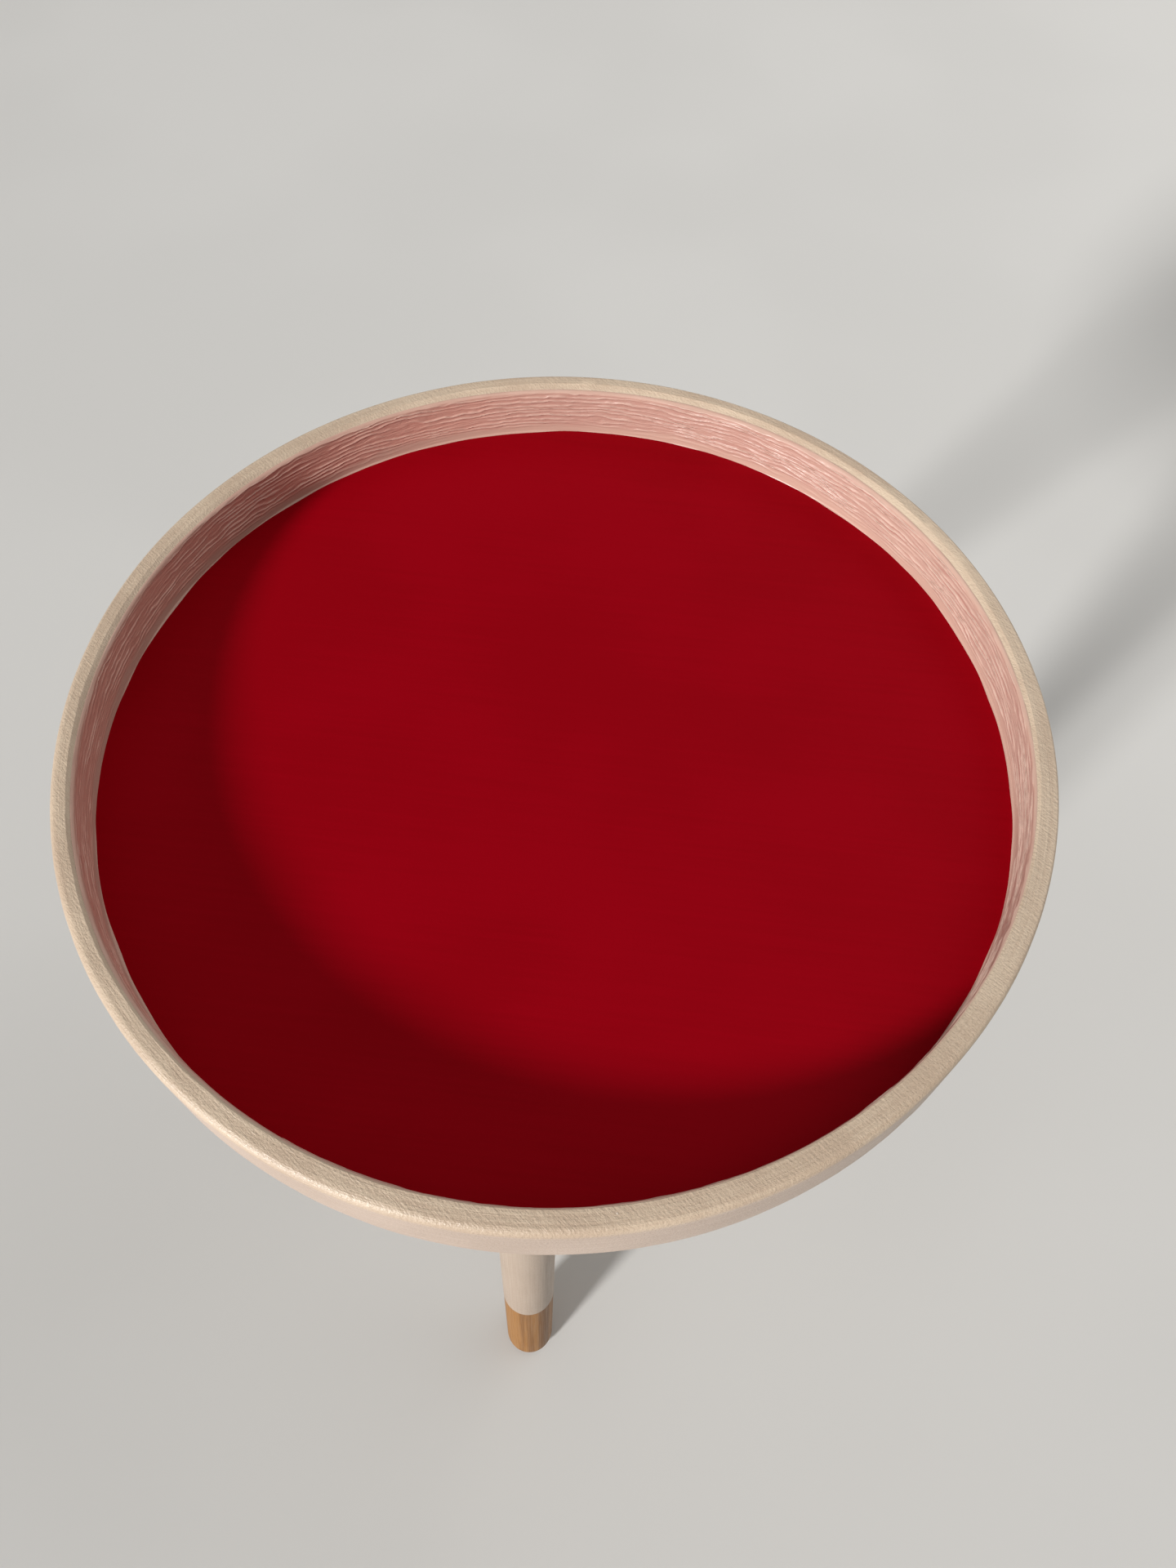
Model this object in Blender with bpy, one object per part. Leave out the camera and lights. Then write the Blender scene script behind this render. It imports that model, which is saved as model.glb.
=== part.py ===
"""Round tray-top side table on three splayed round legs.

Units are metres and +Z is up. The origin is on the floor, under the middle of the tray.
The front leg stands on -Y, and the back legs are a third of a turn either side of it.
"""

import math
from dataclasses import dataclass

import bmesh
import bpy
from mathutils import Matrix, Vector

# Whole table
TABLE_HEIGHT = 0.590
TRAY_DIAMETER = 0.490
CLEARANCE = 0.0003
CUT_OVERRUN = 0.002
MERGE_DISTANCE = 0.000001

# Rim, a hoop with its floor in a rebate
RIM_HEIGHT = 0.040
RIM_WALL = 0.0126
RIM_OUTER_ROUND = 0.0040
RIM_INNER_ROUND = 0.0030
RIM_FOOT_ROUND = 0.0015
REBATE_WIDTH = 0.0060

# Tray floor, a thin plywood panel painted on top
TRAY_DEPTH = 0.0327
FLOOR_THICKNESS = 0.0060

# Panel pins from the floor's edge up into the rim
PIN_COUNT = 12
PIN_SHANK_DIAMETER = 0.0016
PIN_HEAD_DIAMETER = 0.0030
PIN_HEAD_THICKNESS = 0.0006
PIN_GRIP_IN_RIM = 0.0100
PIN_POINT = 0.0015

# Support disc under the floor
DISC_DIAMETER = 0.360
DISC_THICKNESS = 0.0120
DISC_EDGE_ROUND = 0.0030
OUTER_SCREW_COUNT = 6
OUTER_SCREW_INSET = 0.0250
INNER_SCREW_COUNT = 3
INNER_SCREW_CIRCLE_DIAMETER = 0.100

# Legs
FOOT_CIRCLE_DIAMETER = 0.425
LEG_LEAN = math.radians(8)
LEG_FOOT_DIAMETER = 0.0360
LEG_TOP_DIAMETER = 0.0420
LEG_FOOT_ROUND = 0.0040
LEG_TOP_ROUND = 0.0015
BARE_TIP_LENGTH = 0.113

# Angled leg plates
PLATE_WIDTH = 0.0640
PLATE_THICKNESS = 0.0030
PLATE_CORNER_ROUND = 0.0060
PLATE_SCREW_INSET = 0.0070
BOSS_LIP = 0.0050
BOSS_CHAMFER = 0.0006
BOSS_WEB = 0.0030

# Hanger bolts and their nuts
BOLT_DIAMETER = 0.0080
BOLT_WOOD_LENGTH = 0.0300
BOLT_POINT = 0.0060
BOLT_END_CHAMFER = 0.0006
BOLT_STANDOUT = 0.0005
NUT_ACROSS_FLATS = 0.0130
NUT_HEIGHT = 0.0065

# Glides under the feet
CAP_DIAMETER = 0.0200
CAP_THICKNESS = 0.0022
CAP_EDGE_ROUND = 0.0012
NAIL_HEAD_DIAMETER = 0.0100
NAIL_HEAD_THICKNESS = 0.0008
NAIL_SHANK_DIAMETER = 0.0024
NAIL_LENGTH = 0.0160
NAIL_POINT = 0.0030

# Facets
TRAY_FACETS = 72
LEG_FACETS = 36
BOSS_FACETS = 32
CAP_FACETS = 24
BOLT_FACETS = 16
SCREW_FACETS = 10
PIN_FACETS = 8
NUT_SIDES = 6
ROUND_STEPS = 3
WIDE_ROUND_STEPS = 4
SHARP_ANGLE = math.radians(35)

# Where things lie, from the sizes above
TRAY_RADIUS = TRAY_DIAMETER / 2
INNER_WALL_RADIUS = TRAY_RADIUS - RIM_WALL
REBATE_RADIUS = INNER_WALL_RADIUS + REBATE_WIDTH
RIM_BOTTOM = TABLE_HEIGHT - RIM_HEIGHT
FLOOR_TOP = TABLE_HEIGHT - TRAY_DEPTH
FLOOR_BOTTOM = FLOOR_TOP - FLOOR_THICKNESS
DISC_TOP = FLOOR_BOTTOM - CLEARANCE
DISC_BOTTOM = DISC_TOP - DISC_THICKNESS
PLATE_TOP = DISC_BOTTOM - CLEARANCE
PLATE_BOTTOM = PLATE_TOP - PLATE_THICKNESS
BOSS_RADIUS = LEG_TOP_DIAMETER / 2
BOSS_DROP = BOSS_LIP + BOSS_RADIUS * math.sin(LEG_LEAN)
SEAT_HEIGHT = PLATE_BOTTOM - BOSS_DROP
LEG_LENGTH = SEAT_HEIGHT / math.cos(LEG_LEAN) - CLEARANCE
FOOT_CIRCLE_RADIUS = FOOT_CIRCLE_DIAMETER / 2
FOOT_BOTTOM = CAP_THICKNESS + CLEARANCE
PLATE_RADIUS = FOOT_CIRCLE_RADIUS - PLATE_BOTTOM * math.tan(LEG_LEAN)

LEG_STATIONS = {
    "front": math.radians(-90),
    "back_left": math.radians(150),
    "back_right": math.radians(30),
}


@dataclass(frozen=True)
class Screw:
    """A countersunk wood screw, by its sizes."""

    head_diameter: float
    head_height: float
    head_land: float
    shank_diameter: float
    length: float
    point: float


PLATE_SCREW = Screw(
    head_diameter=0.0074,
    head_height=0.0024,
    head_land=0.0004,
    shank_diameter=0.0036,
    length=0.0120,
    point=0.0040,
)
DISC_SCREW = Screw(
    head_diameter=0.0080,
    head_height=0.0026,
    head_land=0.0004,
    shank_diameter=0.0040,
    length=0.0160,
    point=0.0040,
)


# Scene and materials


def clear_scene():
    """Empties the scene."""
    for thing in list(bpy.data.objects):
        bpy.data.objects.remove(thing, do_unlink=True)


def linear(level):
    """One screen colour level, 0 to 255, as linear light."""
    share = level / 255
    return share / 12.92 if share <= 0.04045 else ((share + 0.055) / 1.055) ** 2.4


def finish(name, screen_colour, roughness, metallic=0.0):
    """A plain material from the colour as seen on screen."""
    material = bpy.data.materials.new(name)
    material.use_nodes = True
    shader = material.node_tree.nodes["Principled BSDF"]
    colour = tuple(linear(level) for level in screen_colour) + (1.0,)
    shader.inputs["Base Color"].default_value = colour
    shader.inputs["Roughness"].default_value = roughness
    shader.inputs["Metallic"].default_value = metallic
    material.diffuse_color = colour
    return material


def finishes():
    """All the table's finishes, by name."""
    return {
        "sand_paint": finish("sand_paint", (200, 180, 160), 0.5),
        "coral_paint": finish("coral_paint", (205, 150, 138), 0.55),
        "red_paint": finish("red_paint", (142, 0, 18), 0.45),
        "bare_oak": finish("bare_oak", (172, 128, 84), 0.55),
        "plywood": finish("plywood", (206, 178, 140), 0.65),
        "zinc_plate": finish("zinc_plate", (176, 178, 180), 0.4, 1.0),
        "bright_steel": finish("bright_steel", (190, 190, 192), 0.3, 1.0),
        "white_plastic": finish("white_plastic", (225, 222, 214), 0.45),
    }


# Meshes


def arc(centre, radius, start, end, steps):
    """Points of a profile along a round corner, from one angle in degrees to another."""
    turns = [math.radians(start + (end - start) * step / steps) for step in range(steps + 1)]
    return [
        (centre[0] + radius * math.cos(turn), centre[1] + radius * math.sin(turn))
        for turn in turns
    ]


def turned(profile, facets, place=Matrix.Identity(4)):
    """A solid turned about Z from (radius, height) points.

    A profile that starts and ends on the axis is left open there, and any other is closed.
    """
    shape = bmesh.new()
    points = [shape.verts.new((radius, 0, height)) for radius, height in profile]
    edges = [shape.edges.new(pair) for pair in zip(points, points[1:])]
    if profile[0][0] > 0:
        edges.append(shape.edges.new((points[-1], points[0])))
    bmesh.ops.spin(
        shape,
        geom=points + edges,
        cent=(0, 0, 0),
        axis=(0, 0, 1),
        angle=math.tau,
        steps=facets,
        use_merge=True,
    )
    bmesh.ops.remove_doubles(shape, verts=shape.verts, dist=MERGE_DISTANCE)
    flatten_poles(shape)
    bmesh.ops.transform(shape, matrix=place, verts=shape.verts)
    return closed(shape)


def flatten_poles(shape):
    """Turns each flat fan of triangles round the axis into one face."""
    poles = [v for v in shape.verts if v.co.xy.length < MERGE_DISTANCE]
    for pole in poles:
        fan = list(pole.link_faces)
        heights = [v.co.z for face in fan for v in face.verts]
        if max(heights) - min(heights) < MERGE_DISTANCE:
            bmesh.ops.dissolve_faces(shape, faces=fan)


def closed(shape):
    """The bmesh as a mesh with its faces pointing out."""
    bmesh.ops.recalc_face_normals(shape, faces=shape.faces)
    mesh = bpy.data.meshes.new("shape")
    shape.to_mesh(mesh)
    shape.free()
    return mesh


def copies(mesh, places):
    """One mesh of separate copies, one for each place."""
    shape = bmesh.new()
    for place in places:
        before = len(shape.verts)
        shape.from_mesh(mesh)
        shape.verts.ensure_lookup_table()
        bmesh.ops.transform(shape, matrix=place, verts=shape.verts[before:])
    return closed(shape)


def level_cut(mesh, height, normal, edge_round=0.0):
    """What is left on the normal's side of a plane that crosses the axis at a height.

    The cut is closed with a flat face, whose edge may be rounded.
    """
    shape = bmesh.new()
    shape.from_mesh(mesh)
    result = bmesh.ops.bisect_plane(
        shape,
        geom=shape.verts[:] + shape.edges[:] + shape.faces[:],
        plane_co=(0, 0, height),
        plane_no=normal,
        clear_inner=True,
    )
    rim = [item for item in result["geom_cut"] if isinstance(item, bmesh.types.BMEdge)]
    bmesh.ops.contextual_create(shape, geom=rim)
    if edge_round > 0:
        bmesh.ops.bevel(
            shape,
            geom=rim,
            offset=edge_round,
            segments=ROUND_STEPS,
            profile=0.5,
            affect="EDGES",
        )
    return closed(shape)


def combine(mesh, tool, operation):
    """The mesh after a Boolean with another: DIFFERENCE cuts the tool out, UNION joins it on."""
    body = bpy.data.objects.new("body", mesh)
    other = bpy.data.objects.new("tool", tool)
    for thing in (body, other):
        bpy.context.scene.collection.objects.link(thing)
    boolean = body.modifiers.new("boolean", "BOOLEAN")
    boolean.operation = operation
    boolean.solver = "EXACT"
    boolean.object = other
    graph = bpy.context.evaluated_depsgraph_get()
    result = bpy.data.meshes.new_from_object(body.evaluated_get(graph), depsgraph=graph)
    bpy.data.objects.remove(body)
    bpy.data.objects.remove(other)
    return result


def cut(mesh, *tools):
    """The mesh with each tool cut out of it."""
    for tool in tools:
        mesh = combine(mesh, tool, "DIFFERENCE")
    return mesh


def rod(radius, low, high, facets, place=Matrix.Identity(4)):
    """A plain round bar between two heights."""
    return turned([(0, low), (radius, low), (radius, high), (0, high)], facets, place)


def ring_of_places(count, radius, height, first_angle):
    """Evenly spaced places on a circle about the table's axis."""
    places = []
    for index in range(count):
        angle = first_angle + math.tau * index / count
        spot = (radius * math.cos(angle), radius * math.sin(angle), height)
        places.append(Matrix.Translation(spot) @ Matrix.Rotation(angle, 4, "Z"))
    return places


def add_object(name, mesh, materials, parent=None, location=(0, 0, 0), turn=(0, 0, 0)):
    """Links a named object, smooth on its round faces, at its place on its parent."""
    mesh.name = name
    mesh.materials.clear()
    for material in materials:
        mesh.materials.append(material)
    mesh.shade_smooth()
    mesh.set_sharp_from_angle(angle=SHARP_ANGLE)
    thing = bpy.data.objects.new(name, mesh)
    thing.parent = parent
    thing.location = location
    thing.rotation_euler = turn
    bpy.context.scene.collection.objects.link(thing)
    return thing


def add_set(name, mesh, places, material, parent=None):
    """Links numbered objects that share a mesh, one for each place on their parent."""
    for number, place in enumerate(places, start=1):
        piece = add_object(f"{name}_{number}", mesh, [material], parent)
        piece.matrix_local = place


# Fasteners


def screw_mesh(screw):
    """The screw with its head's flat face on the origin and its shank along +Z."""
    head, shank = screw.head_diameter / 2, screw.shank_diameter / 2
    return turned(
        [
            (0, 0),
            (head, 0),
            (head, screw.head_land),
            (shank, screw.head_height),
            (shank, screw.length - screw.point),
            (0, screw.length),
        ],
        SCREW_FACETS,
    )


def screw_hole(screw):
    """The screw's hole and countersink, with the clearance all round."""
    head, shank = screw.head_diameter / 2, screw.shank_diameter / 2
    return turned(
        [
            (0, -CUT_OVERRUN),
            (head + CLEARANCE, -CUT_OVERRUN),
            (head + CLEARANCE, screw.head_land),
            (shank + CLEARANCE, screw.head_height),
            (shank + CLEARANCE, screw.length + CLEARANCE),
            (0, screw.length + CLEARANCE),
        ],
        SCREW_FACETS,
    )


def outer_screw_places():
    """Places of the screws near the support disc's edge, clear of the leg plates."""
    radius = DISC_DIAMETER / 2 - OUTER_SCREW_INSET
    half_pitch = math.pi / OUTER_SCREW_COUNT
    first = LEG_STATIONS["front"] + half_pitch
    return ring_of_places(OUTER_SCREW_COUNT, radius, DISC_BOTTOM, first)


def inner_screw_places():
    """Places of the screws round the support disc's middle, between the legs."""
    radius = INNER_SCREW_CIRCLE_DIAMETER / 2
    half_pitch = math.pi / INNER_SCREW_COUNT
    first = LEG_STATIONS["front"] + half_pitch
    return ring_of_places(INNER_SCREW_COUNT, radius, DISC_BOTTOM, first)


def disc_screw_places():
    """Places of all the screws that hold the support disc to the tray floor."""
    return outer_screw_places() + inner_screw_places()


def plate_screw_offsets():
    """Places of one plate's screws, from the plate's middle at its underside."""
    reach = PLATE_WIDTH / 2 - PLATE_SCREW_INSET
    corners = [(x, y) for x in (-reach, reach) for y in (-reach, reach)]
    return [Matrix.Translation((x, y, 0)) for x, y in corners]


def station_matrix(angle):
    """Turns a leg's own frame, whose +X points outwards, to its place round the table."""
    return Matrix.Rotation(angle, 4, "Z")


def all_plate_screw_places():
    """Places of every plate's screws on the whole table."""
    middle = Matrix.Translation((PLATE_RADIUS, 0, PLATE_BOTTOM))
    return [
        station_matrix(angle) @ middle @ offset
        for angle in LEG_STATIONS.values()
        for offset in plate_screw_offsets()
    ]


def pin_places():
    """Places of the panel pins, at the floor's underside over the rim's shoulder."""
    radius = INNER_WALL_RADIUS + REBATE_WIDTH / 2
    half_pitch = math.pi / PIN_COUNT
    return ring_of_places(PIN_COUNT, radius, FLOOR_BOTTOM, LEG_STATIONS["front"] + half_pitch)


def pin_mesh():
    """A panel pin, head down, with its head just under the floor that the origin lies on."""
    head, shank = PIN_HEAD_DIAMETER / 2, PIN_SHANK_DIAMETER / 2
    head_top = -CLEARANCE
    tip = FLOOR_THICKNESS + CLEARANCE + PIN_GRIP_IN_RIM
    return turned(
        [
            (0, head_top - PIN_HEAD_THICKNESS),
            (head, head_top - PIN_HEAD_THICKNESS),
            (head, head_top),
            (shank, head_top),
            (shank, tip - PIN_POINT),
            (0, tip),
        ],
        PIN_FACETS,
    )


def pin_holes():
    """The holes for the pins, through the floor and up into the rim."""
    depth = FLOOR_THICKNESS + CLEARANCE + PIN_GRIP_IN_RIM + CLEARANCE
    hole = rod(PIN_SHANK_DIAMETER / 2 + CLEARANCE, -CUT_OVERRUN, depth, PIN_FACETS)
    return copies(hole, pin_places())


# Tray


def rim_mesh():
    """The hoop: round-edged on top, straight outside, with the rebate at its foot inside."""
    outer = (TRAY_RADIUS - RIM_OUTER_ROUND, TABLE_HEIGHT - RIM_OUTER_ROUND)
    inner = (INNER_WALL_RADIUS + RIM_INNER_ROUND, TABLE_HEIGHT - RIM_INNER_ROUND)
    foot = (TRAY_RADIUS - RIM_FOOT_ROUND, RIM_BOTTOM + RIM_FOOT_ROUND)
    shoulder = FLOOR_TOP + CLEARANCE
    profile = arc(foot, RIM_FOOT_ROUND, 270, 360, ROUND_STEPS)
    profile += arc(outer, RIM_OUTER_ROUND, 0, 90, WIDE_ROUND_STEPS)
    profile += arc(inner, RIM_INNER_ROUND, 90, 180, ROUND_STEPS)
    profile += [
        (INNER_WALL_RADIUS, shoulder),
        (REBATE_RADIUS, shoulder),
        (REBATE_RADIUS, RIM_BOTTOM),
    ]
    return cut(turned(profile, TRAY_FACETS), pin_holes())


def paint_inner_wall(mesh):
    """Gives the rim's inner wall the second material."""
    limit = INNER_WALL_RADIUS + RIM_INNER_ROUND / 2
    for face in mesh.polygons:
        radius = Vector(face.center[:2]).length
        inside = radius < limit and face.center.z > FLOOR_TOP + CLEARANCE + MERGE_DISTANCE
        face.material_index = 1 if inside else 0


def floor_mesh():
    """The tray's floor panel, drilled for its pins and for the support disc's screws."""
    panel = rod(REBATE_RADIUS - CLEARANCE, FLOOR_BOTTOM, FLOOR_TOP, TRAY_FACETS)
    return cut(panel, pin_holes(), copies(screw_hole(DISC_SCREW), disc_screw_places()))


def paint_floor_top(mesh):
    """Gives the floor's top face the second material."""
    for face in mesh.polygons:
        on_top = face.center.z > FLOOR_TOP - MERGE_DISTANCE
        face.material_index = 1 if on_top else 0


def disc_mesh():
    """The support disc, drilled and countersunk for its screws and the plates' screws."""
    rim = DISC_DIAMETER / 2 - DISC_EDGE_ROUND
    low, high = DISC_BOTTOM + DISC_EDGE_ROUND, DISC_TOP - DISC_EDGE_ROUND
    profile = [(0, DISC_BOTTOM)]
    profile += arc((rim, low), DISC_EDGE_ROUND, 270, 360, ROUND_STEPS)
    profile += arc((rim, high), DISC_EDGE_ROUND, 0, 90, ROUND_STEPS)
    profile += [(0, DISC_TOP)]
    return cut(
        turned(profile, TRAY_FACETS),
        copies(screw_hole(DISC_SCREW), disc_screw_places()),
        copies(screw_hole(PLATE_SCREW), all_plate_screw_places()),
    )


# Legs


def leg_radius(height):
    """The leg's radius at a distance up its axis from the floor."""
    foot, top = LEG_FOOT_DIAMETER / 2, LEG_TOP_DIAMETER / 2
    return foot + (top - foot) * height / LEG_LENGTH


def up_in_leg_frame():
    """The table's upward direction, seen from a leg whose own +Z runs up its axis."""
    return Vector((math.sin(LEG_LEAN), 0, math.cos(LEG_LEAN)))


def bolt_hole_in_leg():
    """The hole in the leg's top for the hanger bolt."""
    radius = BOLT_DIAMETER / 2 + CLEARANCE
    low = LEG_LENGTH - BOLT_WOOD_LENGTH - CLEARANCE
    return rod(radius, low, LEG_LENGTH + CUT_OVERRUN, BOLT_FACETS)


def nail_hole_in_leg():
    """The hole in the leg's foot for the glide's nail, upright in the table."""
    radius = NAIL_SHANK_DIAMETER / 2 + CLEARANCE
    upright = Matrix.Rotation(LEG_LEAN, 4, "Y")
    top = CAP_THICKNESS + NAIL_LENGTH + CLEARANCE
    return rod(radius, FOOT_BOTTOM - CUT_OVERRUN, top, PIN_FACETS, upright)


def leg_mesh():
    """A tapered round leg with its axis on +Z, cut level at the foot and square at the top."""
    waste = LEG_FOOT_DIAMETER * math.tan(LEG_LEAN)
    shoulder = LEG_LENGTH - LEG_TOP_ROUND
    profile = [(0, -waste), (leg_radius(-waste), -waste)]
    profile += [(leg_radius(BARE_TIP_LENGTH), BARE_TIP_LENGTH)]
    profile += arc((leg_radius(shoulder) - LEG_TOP_ROUND, shoulder), LEG_TOP_ROUND, 0, 90, ROUND_STEPS)
    profile += [(0, LEG_LENGTH)]
    blank = turned(profile, LEG_FACETS)
    foot_height = FOOT_BOTTOM / math.cos(LEG_LEAN)
    levelled = level_cut(blank, foot_height, up_in_leg_frame(), LEG_FOOT_ROUND)
    return cut(levelled, bolt_hole_in_leg(), nail_hole_in_leg())


def bare_leg_tip(mesh):
    """Gives the leg's unpainted tip the second material."""
    for face in mesh.polygons:
        face.material_index = 1 if face.center.z < BARE_TIP_LENGTH else 0


# Leg plates


def along_leg(distance=0.0):
    """A frame whose +Z runs up the leg's axis, from a distance up it."""
    return Matrix.Rotation(-LEG_LEAN, 4, "Y") @ Matrix.Translation((0, 0, distance))


def seat_distance():
    """How far down the leg's axis the leg's seat is from the plate's underside."""
    return BOSS_DROP / math.cos(LEG_LEAN)


def flange_mesh():
    """The plate's flat square flange with round corners, resting on the origin's level."""
    shape = bmesh.new()
    size = Matrix.Diagonal((PLATE_WIDTH, PLATE_WIDTH, PLATE_THICKNESS, 1))
    lift = Matrix.Translation((0, 0, PLATE_THICKNESS / 2))
    bmesh.ops.create_cube(shape, size=1, matrix=lift @ size)
    upright = [e for e in shape.edges if abs(e.verts[0].co.z - e.verts[1].co.z) > MERGE_DISTANCE]
    bmesh.ops.bevel(
        shape,
        geom=upright,
        offset=PLATE_CORNER_ROUND,
        segments=WIDE_ROUND_STEPS,
        profile=0.5,
        affect="EDGES",
    )
    return closed(shape)


def boss_mesh():
    """The slanted boss that meets the leg squarely and runs up into the flange."""
    seat = -seat_distance()
    top = PLATE_THICKNESS + BOSS_RADIUS
    blank = turned(
        [
            (0, seat),
            (BOSS_RADIUS - BOSS_CHAMFER, seat),
            (BOSS_RADIUS, seat + BOSS_CHAMFER),
            (BOSS_RADIUS, top),
            (0, top),
        ],
        BOSS_FACETS,
        along_leg(),
    )
    return level_cut(blank, PLATE_THICKNESS / 2, (0, 0, -1))


def hexagon(across_flats, low, high):
    """A six-sided bar between two distances up the leg's axis."""
    corner = across_flats / 2 / math.cos(math.pi / NUT_SIDES)
    return rod(corner, low, high, NUT_SIDES, along_leg())


def nut_bottom():
    """How far up the leg's axis the nut starts from the plate's underside."""
    return BOSS_WEB + CLEARANCE - seat_distance()


def plate_mesh():
    """The angled plate: flange and boss in one, with the nut's pocket and all its holes."""
    body = combine(flange_mesh(), boss_mesh(), "UNION")
    top = PLATE_THICKNESS + BOSS_RADIUS
    pocket = hexagon(NUT_ACROSS_FLATS + 2 * CLEARANCE, BOSS_WEB - seat_distance(), top)
    bolt_radius = BOLT_DIAMETER / 2 + CLEARANCE
    bolt_hole = rod(bolt_radius, -seat_distance() - CUT_OVERRUN, top, BOLT_FACETS, along_leg())
    screws = copies(screw_hole(PLATE_SCREW), plate_screw_offsets())
    return cut(body, pocket, bolt_hole, screws)


def nut_mesh():
    """The hexagon nut in the plate's pocket."""
    low = nut_bottom()
    body = hexagon(NUT_ACROSS_FLATS, low, low + NUT_HEIGHT)
    radius = BOLT_DIAMETER / 2 + CLEARANCE
    hole = rod(radius, low - CUT_OVERRUN, low + NUT_HEIGHT + CUT_OVERRUN, BOLT_FACETS, along_leg())
    return cut(body, hole)


def bolt_mesh():
    """The hanger bolt, from its point in the leg up through the nut."""
    radius = BOLT_DIAMETER / 2
    seat = -seat_distance() - CLEARANCE
    low = seat - BOLT_WOOD_LENGTH
    high = nut_bottom() + NUT_HEIGHT + BOLT_STANDOUT
    return turned(
        [
            (0, low),
            (radius, low + BOLT_POINT),
            (radius, high - BOLT_END_CHAMFER),
            (radius - BOLT_END_CHAMFER, high),
            (0, high),
        ],
        BOLT_FACETS,
        along_leg(),
    )


# Glides


def cap_mesh():
    """The glide's plastic cap, standing on the floor, with a pocket for the nail's head."""
    edge = (CAP_DIAMETER / 2 - CAP_EDGE_ROUND, CAP_EDGE_ROUND)
    pocket = NAIL_HEAD_DIAMETER / 2 + CLEARANCE
    pocket_floor = CAP_THICKNESS - NAIL_HEAD_THICKNESS - CLEARANCE
    profile = [(0, 0)]
    profile += arc(edge, CAP_EDGE_ROUND, 270, 360, ROUND_STEPS)
    profile += [
        (CAP_DIAMETER / 2, CAP_THICKNESS),
        (pocket, CAP_THICKNESS),
        (pocket, pocket_floor),
        (0, pocket_floor),
    ]
    return turned(profile, CAP_FACETS)


def nail_mesh():
    """The glide's nail, with its flat head in the cap and its shank up in the leg."""
    head, shank = NAIL_HEAD_DIAMETER / 2, NAIL_SHANK_DIAMETER / 2
    head_top = CAP_THICKNESS
    tip = CAP_THICKNESS + NAIL_LENGTH
    return turned(
        [
            (0, head_top - NAIL_HEAD_THICKNESS),
            (head, head_top - NAIL_HEAD_THICKNESS),
            (head, head_top),
            (shank, head_top),
            (shank, tip - NAIL_POINT),
            (0, tip),
        ],
        PIN_FACETS,
    )


# The assembly


def build_tray(paint):
    """Makes the rim, floor, support disc and their fasteners."""
    rim = add_object("tray_rim", rim_mesh(), [paint["sand_paint"], paint["coral_paint"]])
    paint_inner_wall(rim.data)
    floor = add_object("tray_floor", floor_mesh(), [paint["plywood"], paint["red_paint"]])
    paint_floor_top(floor.data)
    add_set("floor_pin", pin_mesh(), pin_places(), paint["bright_steel"])
    add_object("support_disc", disc_mesh(), [paint["plywood"]])
    add_set("disc_screw", screw_mesh(DISC_SCREW), disc_screw_places(), paint["zinc_plate"])


def build_legs(paint):
    """Makes each leg with its plate, nut, bolt, screws and glide, round the table."""
    foot = (FOOT_CIRCLE_RADIUS, 0, 0)
    plate_spot = (PLATE_RADIUS, 0, PLATE_BOTTOM)
    leg = leg_mesh()
    bare_leg_tip(leg)
    steel, zinc = [paint["bright_steel"]], [paint["zinc_plate"]]
    on_plate = {
        "leg_plate": (plate_mesh(), zinc),
        "plate_nut": (nut_mesh(), zinc),
        "hanger_bolt": (bolt_mesh(), steel),
    }
    under_foot = {
        "glide_cap": (cap_mesh(), [paint["white_plastic"]]),
        "glide_nail": (nail_mesh(), steel),
    }
    plate_screw = screw_mesh(PLATE_SCREW)
    middle = Matrix.Translation(plate_spot)
    screw_places = [middle @ offset for offset in plate_screw_offsets()]
    for side, angle in LEG_STATIONS.items():
        station = bpy.data.objects.new(f"station_{side}", None)
        station.rotation_euler = (0, 0, angle)
        bpy.context.scene.collection.objects.link(station)
        leg_paint = [paint["sand_paint"], paint["bare_oak"]]
        add_object(f"leg_{side}", leg.copy(), leg_paint, station, foot, (0, -LEG_LEAN, 0))
        for name, (mesh, material) in on_plate.items():
            add_object(f"{name}_{side}", mesh.copy(), material, station, plate_spot)
        for name, (mesh, material) in under_foot.items():
            add_object(f"{name}_{side}", mesh.copy(), material, station, foot)
        add_set(f"plate_screw_{side}", plate_screw, screw_places, paint["zinc_plate"], station)


def main():
    """Builds the whole table."""
    clear_scene()
    paint = finishes()
    build_tray(paint)
    build_legs(paint)
    bpy.context.view_layer.update()


main()
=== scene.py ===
"""Looks of the round tray-top side table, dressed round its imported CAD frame.

Units are metres in the table's own frame. +Z is up, the origin is on the floor under the
middle of the tray, and the front leg stands on -Y.
"""

from __future__ import annotations

import logging
import math
from collections.abc import Callable, Mapping, Sequence
from dataclasses import dataclass, field
from enum import Enum
from typing import Any

import bmesh
import bpy
from mathutils import Matrix, Vector


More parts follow.
